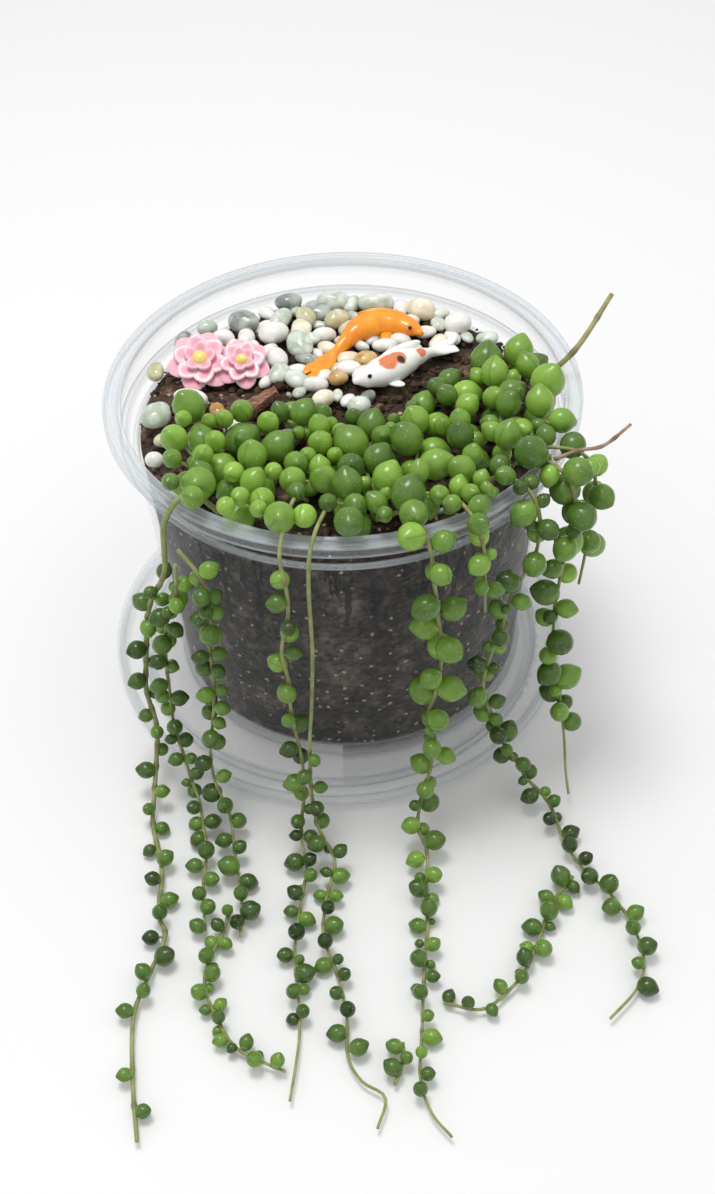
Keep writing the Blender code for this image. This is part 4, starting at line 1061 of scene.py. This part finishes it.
def buildStem(name, points, seats, coarse, thickness, material=None, slotName="stem", step=1.4, knots=()):
    route = smoothRoute(points, step)
    alongs = [seat[3] for seat in seats if seat[3] is not None] + list(knots)
    total = sum((b - a).length for a, b in zip(route, route[1:]))

    def swelling(i):
        here = total * i / (len(route) - 1)
        near = min((abs(here - along) for along in alongs), default=99.0)
        return max(0.0, 1.0 - near / 1.2)

    def size(i):
        taper = 1.0 - 0.3 * i / (len(route) - 1)
        wide = thickness * taper * (1.0 + 0.4 * swelling(i))
        return wide, wide

    bm = bmesh.new()
    joint = bm.verts.layers.float.new("joint")
    for i, ring in enumerate(extrudeAlong(bm, route, size, segments=6)):
        for vert in ring:
            vert[joint] = 0.75 * swelling(i)
    for centre, ahead, radius, along in seats:
        start = centre if along is None else pointAlong(coarse, along)[0]
        foot = min(route, key=lambda point: (point - start).length)
        goal = centre - ahead * (radius * 0.9)
        reach = goal - foot
        if 0.2 < reach.length < 8.0:
            across, lift = frameAcross(reach.normalized())
            turn = Matrix((across, lift, reach.normalized())).transposed().to_4x4()
            bmesh.ops.create_cone(bm, cap_ends=True, segments=6, radius1=0.36, radius2=0.3, depth=reach.length,
                                  matrix=Matrix.Translation(foot + 0.5 * reach) @ turn)
    bmesh.ops.recalc_face_normals(bm, faces=bm.faces)
    finishPiece(bm, name + "_stem", material or stemSkin, slotName, name)


def fillRim(room, plan):
    fill = rimFill
    chance = random.Random(fill["seed"])
    fixed = [ball for ball in room.balls if ball[0] in ("pebble", "koi", "bare_stem", "dry_twig")]
    made = 0
    for _ in range(fill["tries"]):
        x, y = chance.uniform(fill["left"], fill["right"]), chance.uniform(fill["front"], fill["back"])
        radius = chance.uniform(fill["small"], fill["large"]) * (1.0 - fill["shrink"] * made / fill["most"])
        out = math.hypot(x, y)
        if out > potSize["rim"] - fill["inset"] or made == fill["most"]:
            continue
        centre = Vector((x, y, fill["low"] + fill["rise"] * (out / potSize["mouth"]) ** fill["curve"]))
        while distanceToRim(centre) < radius:
            centre.z += fill["lift"]
        seats = [(name, seat) for name, (_, _, taken, _) in plan.items() for seat in taken]
        shoots = [pair for pair in seats if pair[0].startswith("crown")]
        nearest = min(shoots, key=lambda pair: (centre - pair[1][0]).length)[0]
        apart = all((centre - seat[0]).length > fill["overlap"] * (radius + seat[2]) for _, seat in seats)
        if apart and all((centre - middle).length > radius + reach for _, middle, reach in fixed):
            ahead = Vector((fill["outward"] * x, y, fill["upright"])).normalized()
            plan[nearest][2].append((centre, ahead, radius, None))
            made += 1


def buildPlant():
    room = Room()
    for _, x, y, length, width, height, _ in pebblePlan:
        room.add("pebble", Vector((x, y, pebbleBase + 0.5 * height)), 0.5 * max(length, height))
    for point in orangeSpine + whiteSpine:
        room.add("koi", Vector(point), plantSize["koiRoom"])
    room.addRoute("bare_stem", bareStem)
    room.addRoute("dry_twig", dryTwig)
    for strand in trailing + crown:
        room.addRoute(strand[0], strand[1])
    chance = random.Random(plantSize["seed"])
    plan = {}
    for group, step in ((trailing, plantSize["stemStep"]), (crown, plantSize["crownStep"])):
        for name, points, *rule in group:
            coarse = smoothRoute(points, step)
            plan[name] = (points, coarse, [], rule)
            seatPearls(room, chance, name, coarse, *rule, plan[name][2])
    extra = random.Random(plantSize["seed"])
    for name, (points, coarse, seats, rule) in plan.items():
        first, last, spacing, near, far = rule
        if name.startswith("crown"):
            for size in plantSize["crownExtra"]:
                apart = spacing * plantSize["crownSpacing"]
                seatPearls(room, extra, name, coarse, first, last, apart, near * size, far * size, seats)
        elif name in crowded:
            start, end, size = crowded[name]
            apart = spacing * plantSize["strandSpacing"]
            seatPearls(room, extra, name, coarse, start, end, apart, near * size, far * size, seats)
    fillRim(room, plan)
    for name, (points, coarse, seats, rule) in plan.items():
        kind = name.split("_")[0]
        tone = pearlTones.get(name, pearlTones[kind])
        grow = pearlGrowth.get(name, pearlGrowth[kind])
        buildPearls(name, seats, tone, grow, 0.12 if kind == "strand" else 0.0, extra)
        buildStem(name, points, seats, coarse, 0.72 if name == "strand_a1" else 0.5)
    buildStem("bare_stem", bareStem, [], [], 0.85, woodySkin, knots=(9, 19, 30))
    buildStem("dry_twig", dryTwig, [], [], 0.5, drySkin, "dry_stem", knots=(6, 11, 16))


buildPlant()
print("plant made")

# Floor, light and camera
studio = {
    "floor": "F1F1F1", "floorHalf": 12.0, "zenith": 0.92, "horizon": 0.38,
    "lightPower": 2.9, "lightPlace": (-0.1, 0.06, 0.84), "lightAim": (0, -0.03, 0.05), "lightSize": 0.26,
    "cameraPlace": (0.0, -0.29592, 0.31507), "cameraAim": (0.002, -0.02663, 0.04),
    "roll": -1.696, "lens": 45.226,
}


def buildStudio():
    p = studio
    bm = bmesh.new()
    bmesh.ops.create_grid(bm, x_segments=1, y_segments=1, size=p["floorHalf"])
    mesh = bpy.data.meshes.new("table_top")
    bm.to_mesh(mesh)
    bm.free()
    # Matt white laminate.
    laminate, _, shader = startMaterial("matt white laminate", 0.6)
    shader.inputs["Base Color"].default_value = srgb(p["floor"])
    mesh.materials.append(laminate)
    floor = bpy.data.objects.new("table_top", mesh)
    scene.collection.objects.link(floor)
    lamp = bpy.data.lights.new("softbox", "AREA")
    lamp.energy = p["lightPower"]
    lamp.size = p["lightSize"]
    softbox = bpy.data.objects.new("softbox", lamp)
    softbox.location = p["lightPlace"]
    throw = Vector(p["lightAim"]) - Vector(p["lightPlace"])
    softbox.rotation_euler = throw.to_track_quat("-Z", "Y").to_euler()
    scene.collection.objects.link(softbox)
    world = bpy.data.worlds.new("studio")
    world.use_nodes = True
    tree = world.node_tree
    coords = addNode(tree, "ShaderNodeTexCoord")
    height = addNode(tree, "ShaderNodeSeparateXYZ", {}, {"Vector": coords.outputs["Generated"]})
    rise = {"From Min": 0.0, "From Max": 0.9, "To Min": p["horizon"], "To Max": p["zenith"]}
    sky = addNode(tree, "ShaderNodeMapRange", rise,
                  {"Value": height.outputs["Z"]})
    tree.links.new(sky.outputs["Result"], tree.nodes["Background"].inputs["Strength"])
    tree.nodes["Background"].inputs["Color"].default_value = (1.0, 1.0, 1.0, 1.0)
    scene.world = world
    camera = bpy.data.cameras.new("camera")
    camera.lens = p["lens"]
    camera.sensor_width = 36.0
    camera.clip_start = 0.01
    holder = bpy.data.objects.new("camera", camera)
    aim = (Vector(p["cameraAim"]) - Vector(p["cameraPlace"])).to_track_quat("-Z", "Y").to_matrix().to_4x4()
    roll = Matrix.Rotation(math.radians(p["roll"]), 4, "Z")
    holder.matrix_world = Matrix.Translation(p["cameraPlace"]) @ aim @ roll
    scene.collection.objects.link(holder)
    scene.camera = holder
    scene.view_settings.view_transform = "Standard"


buildStudio()
print("studio made")
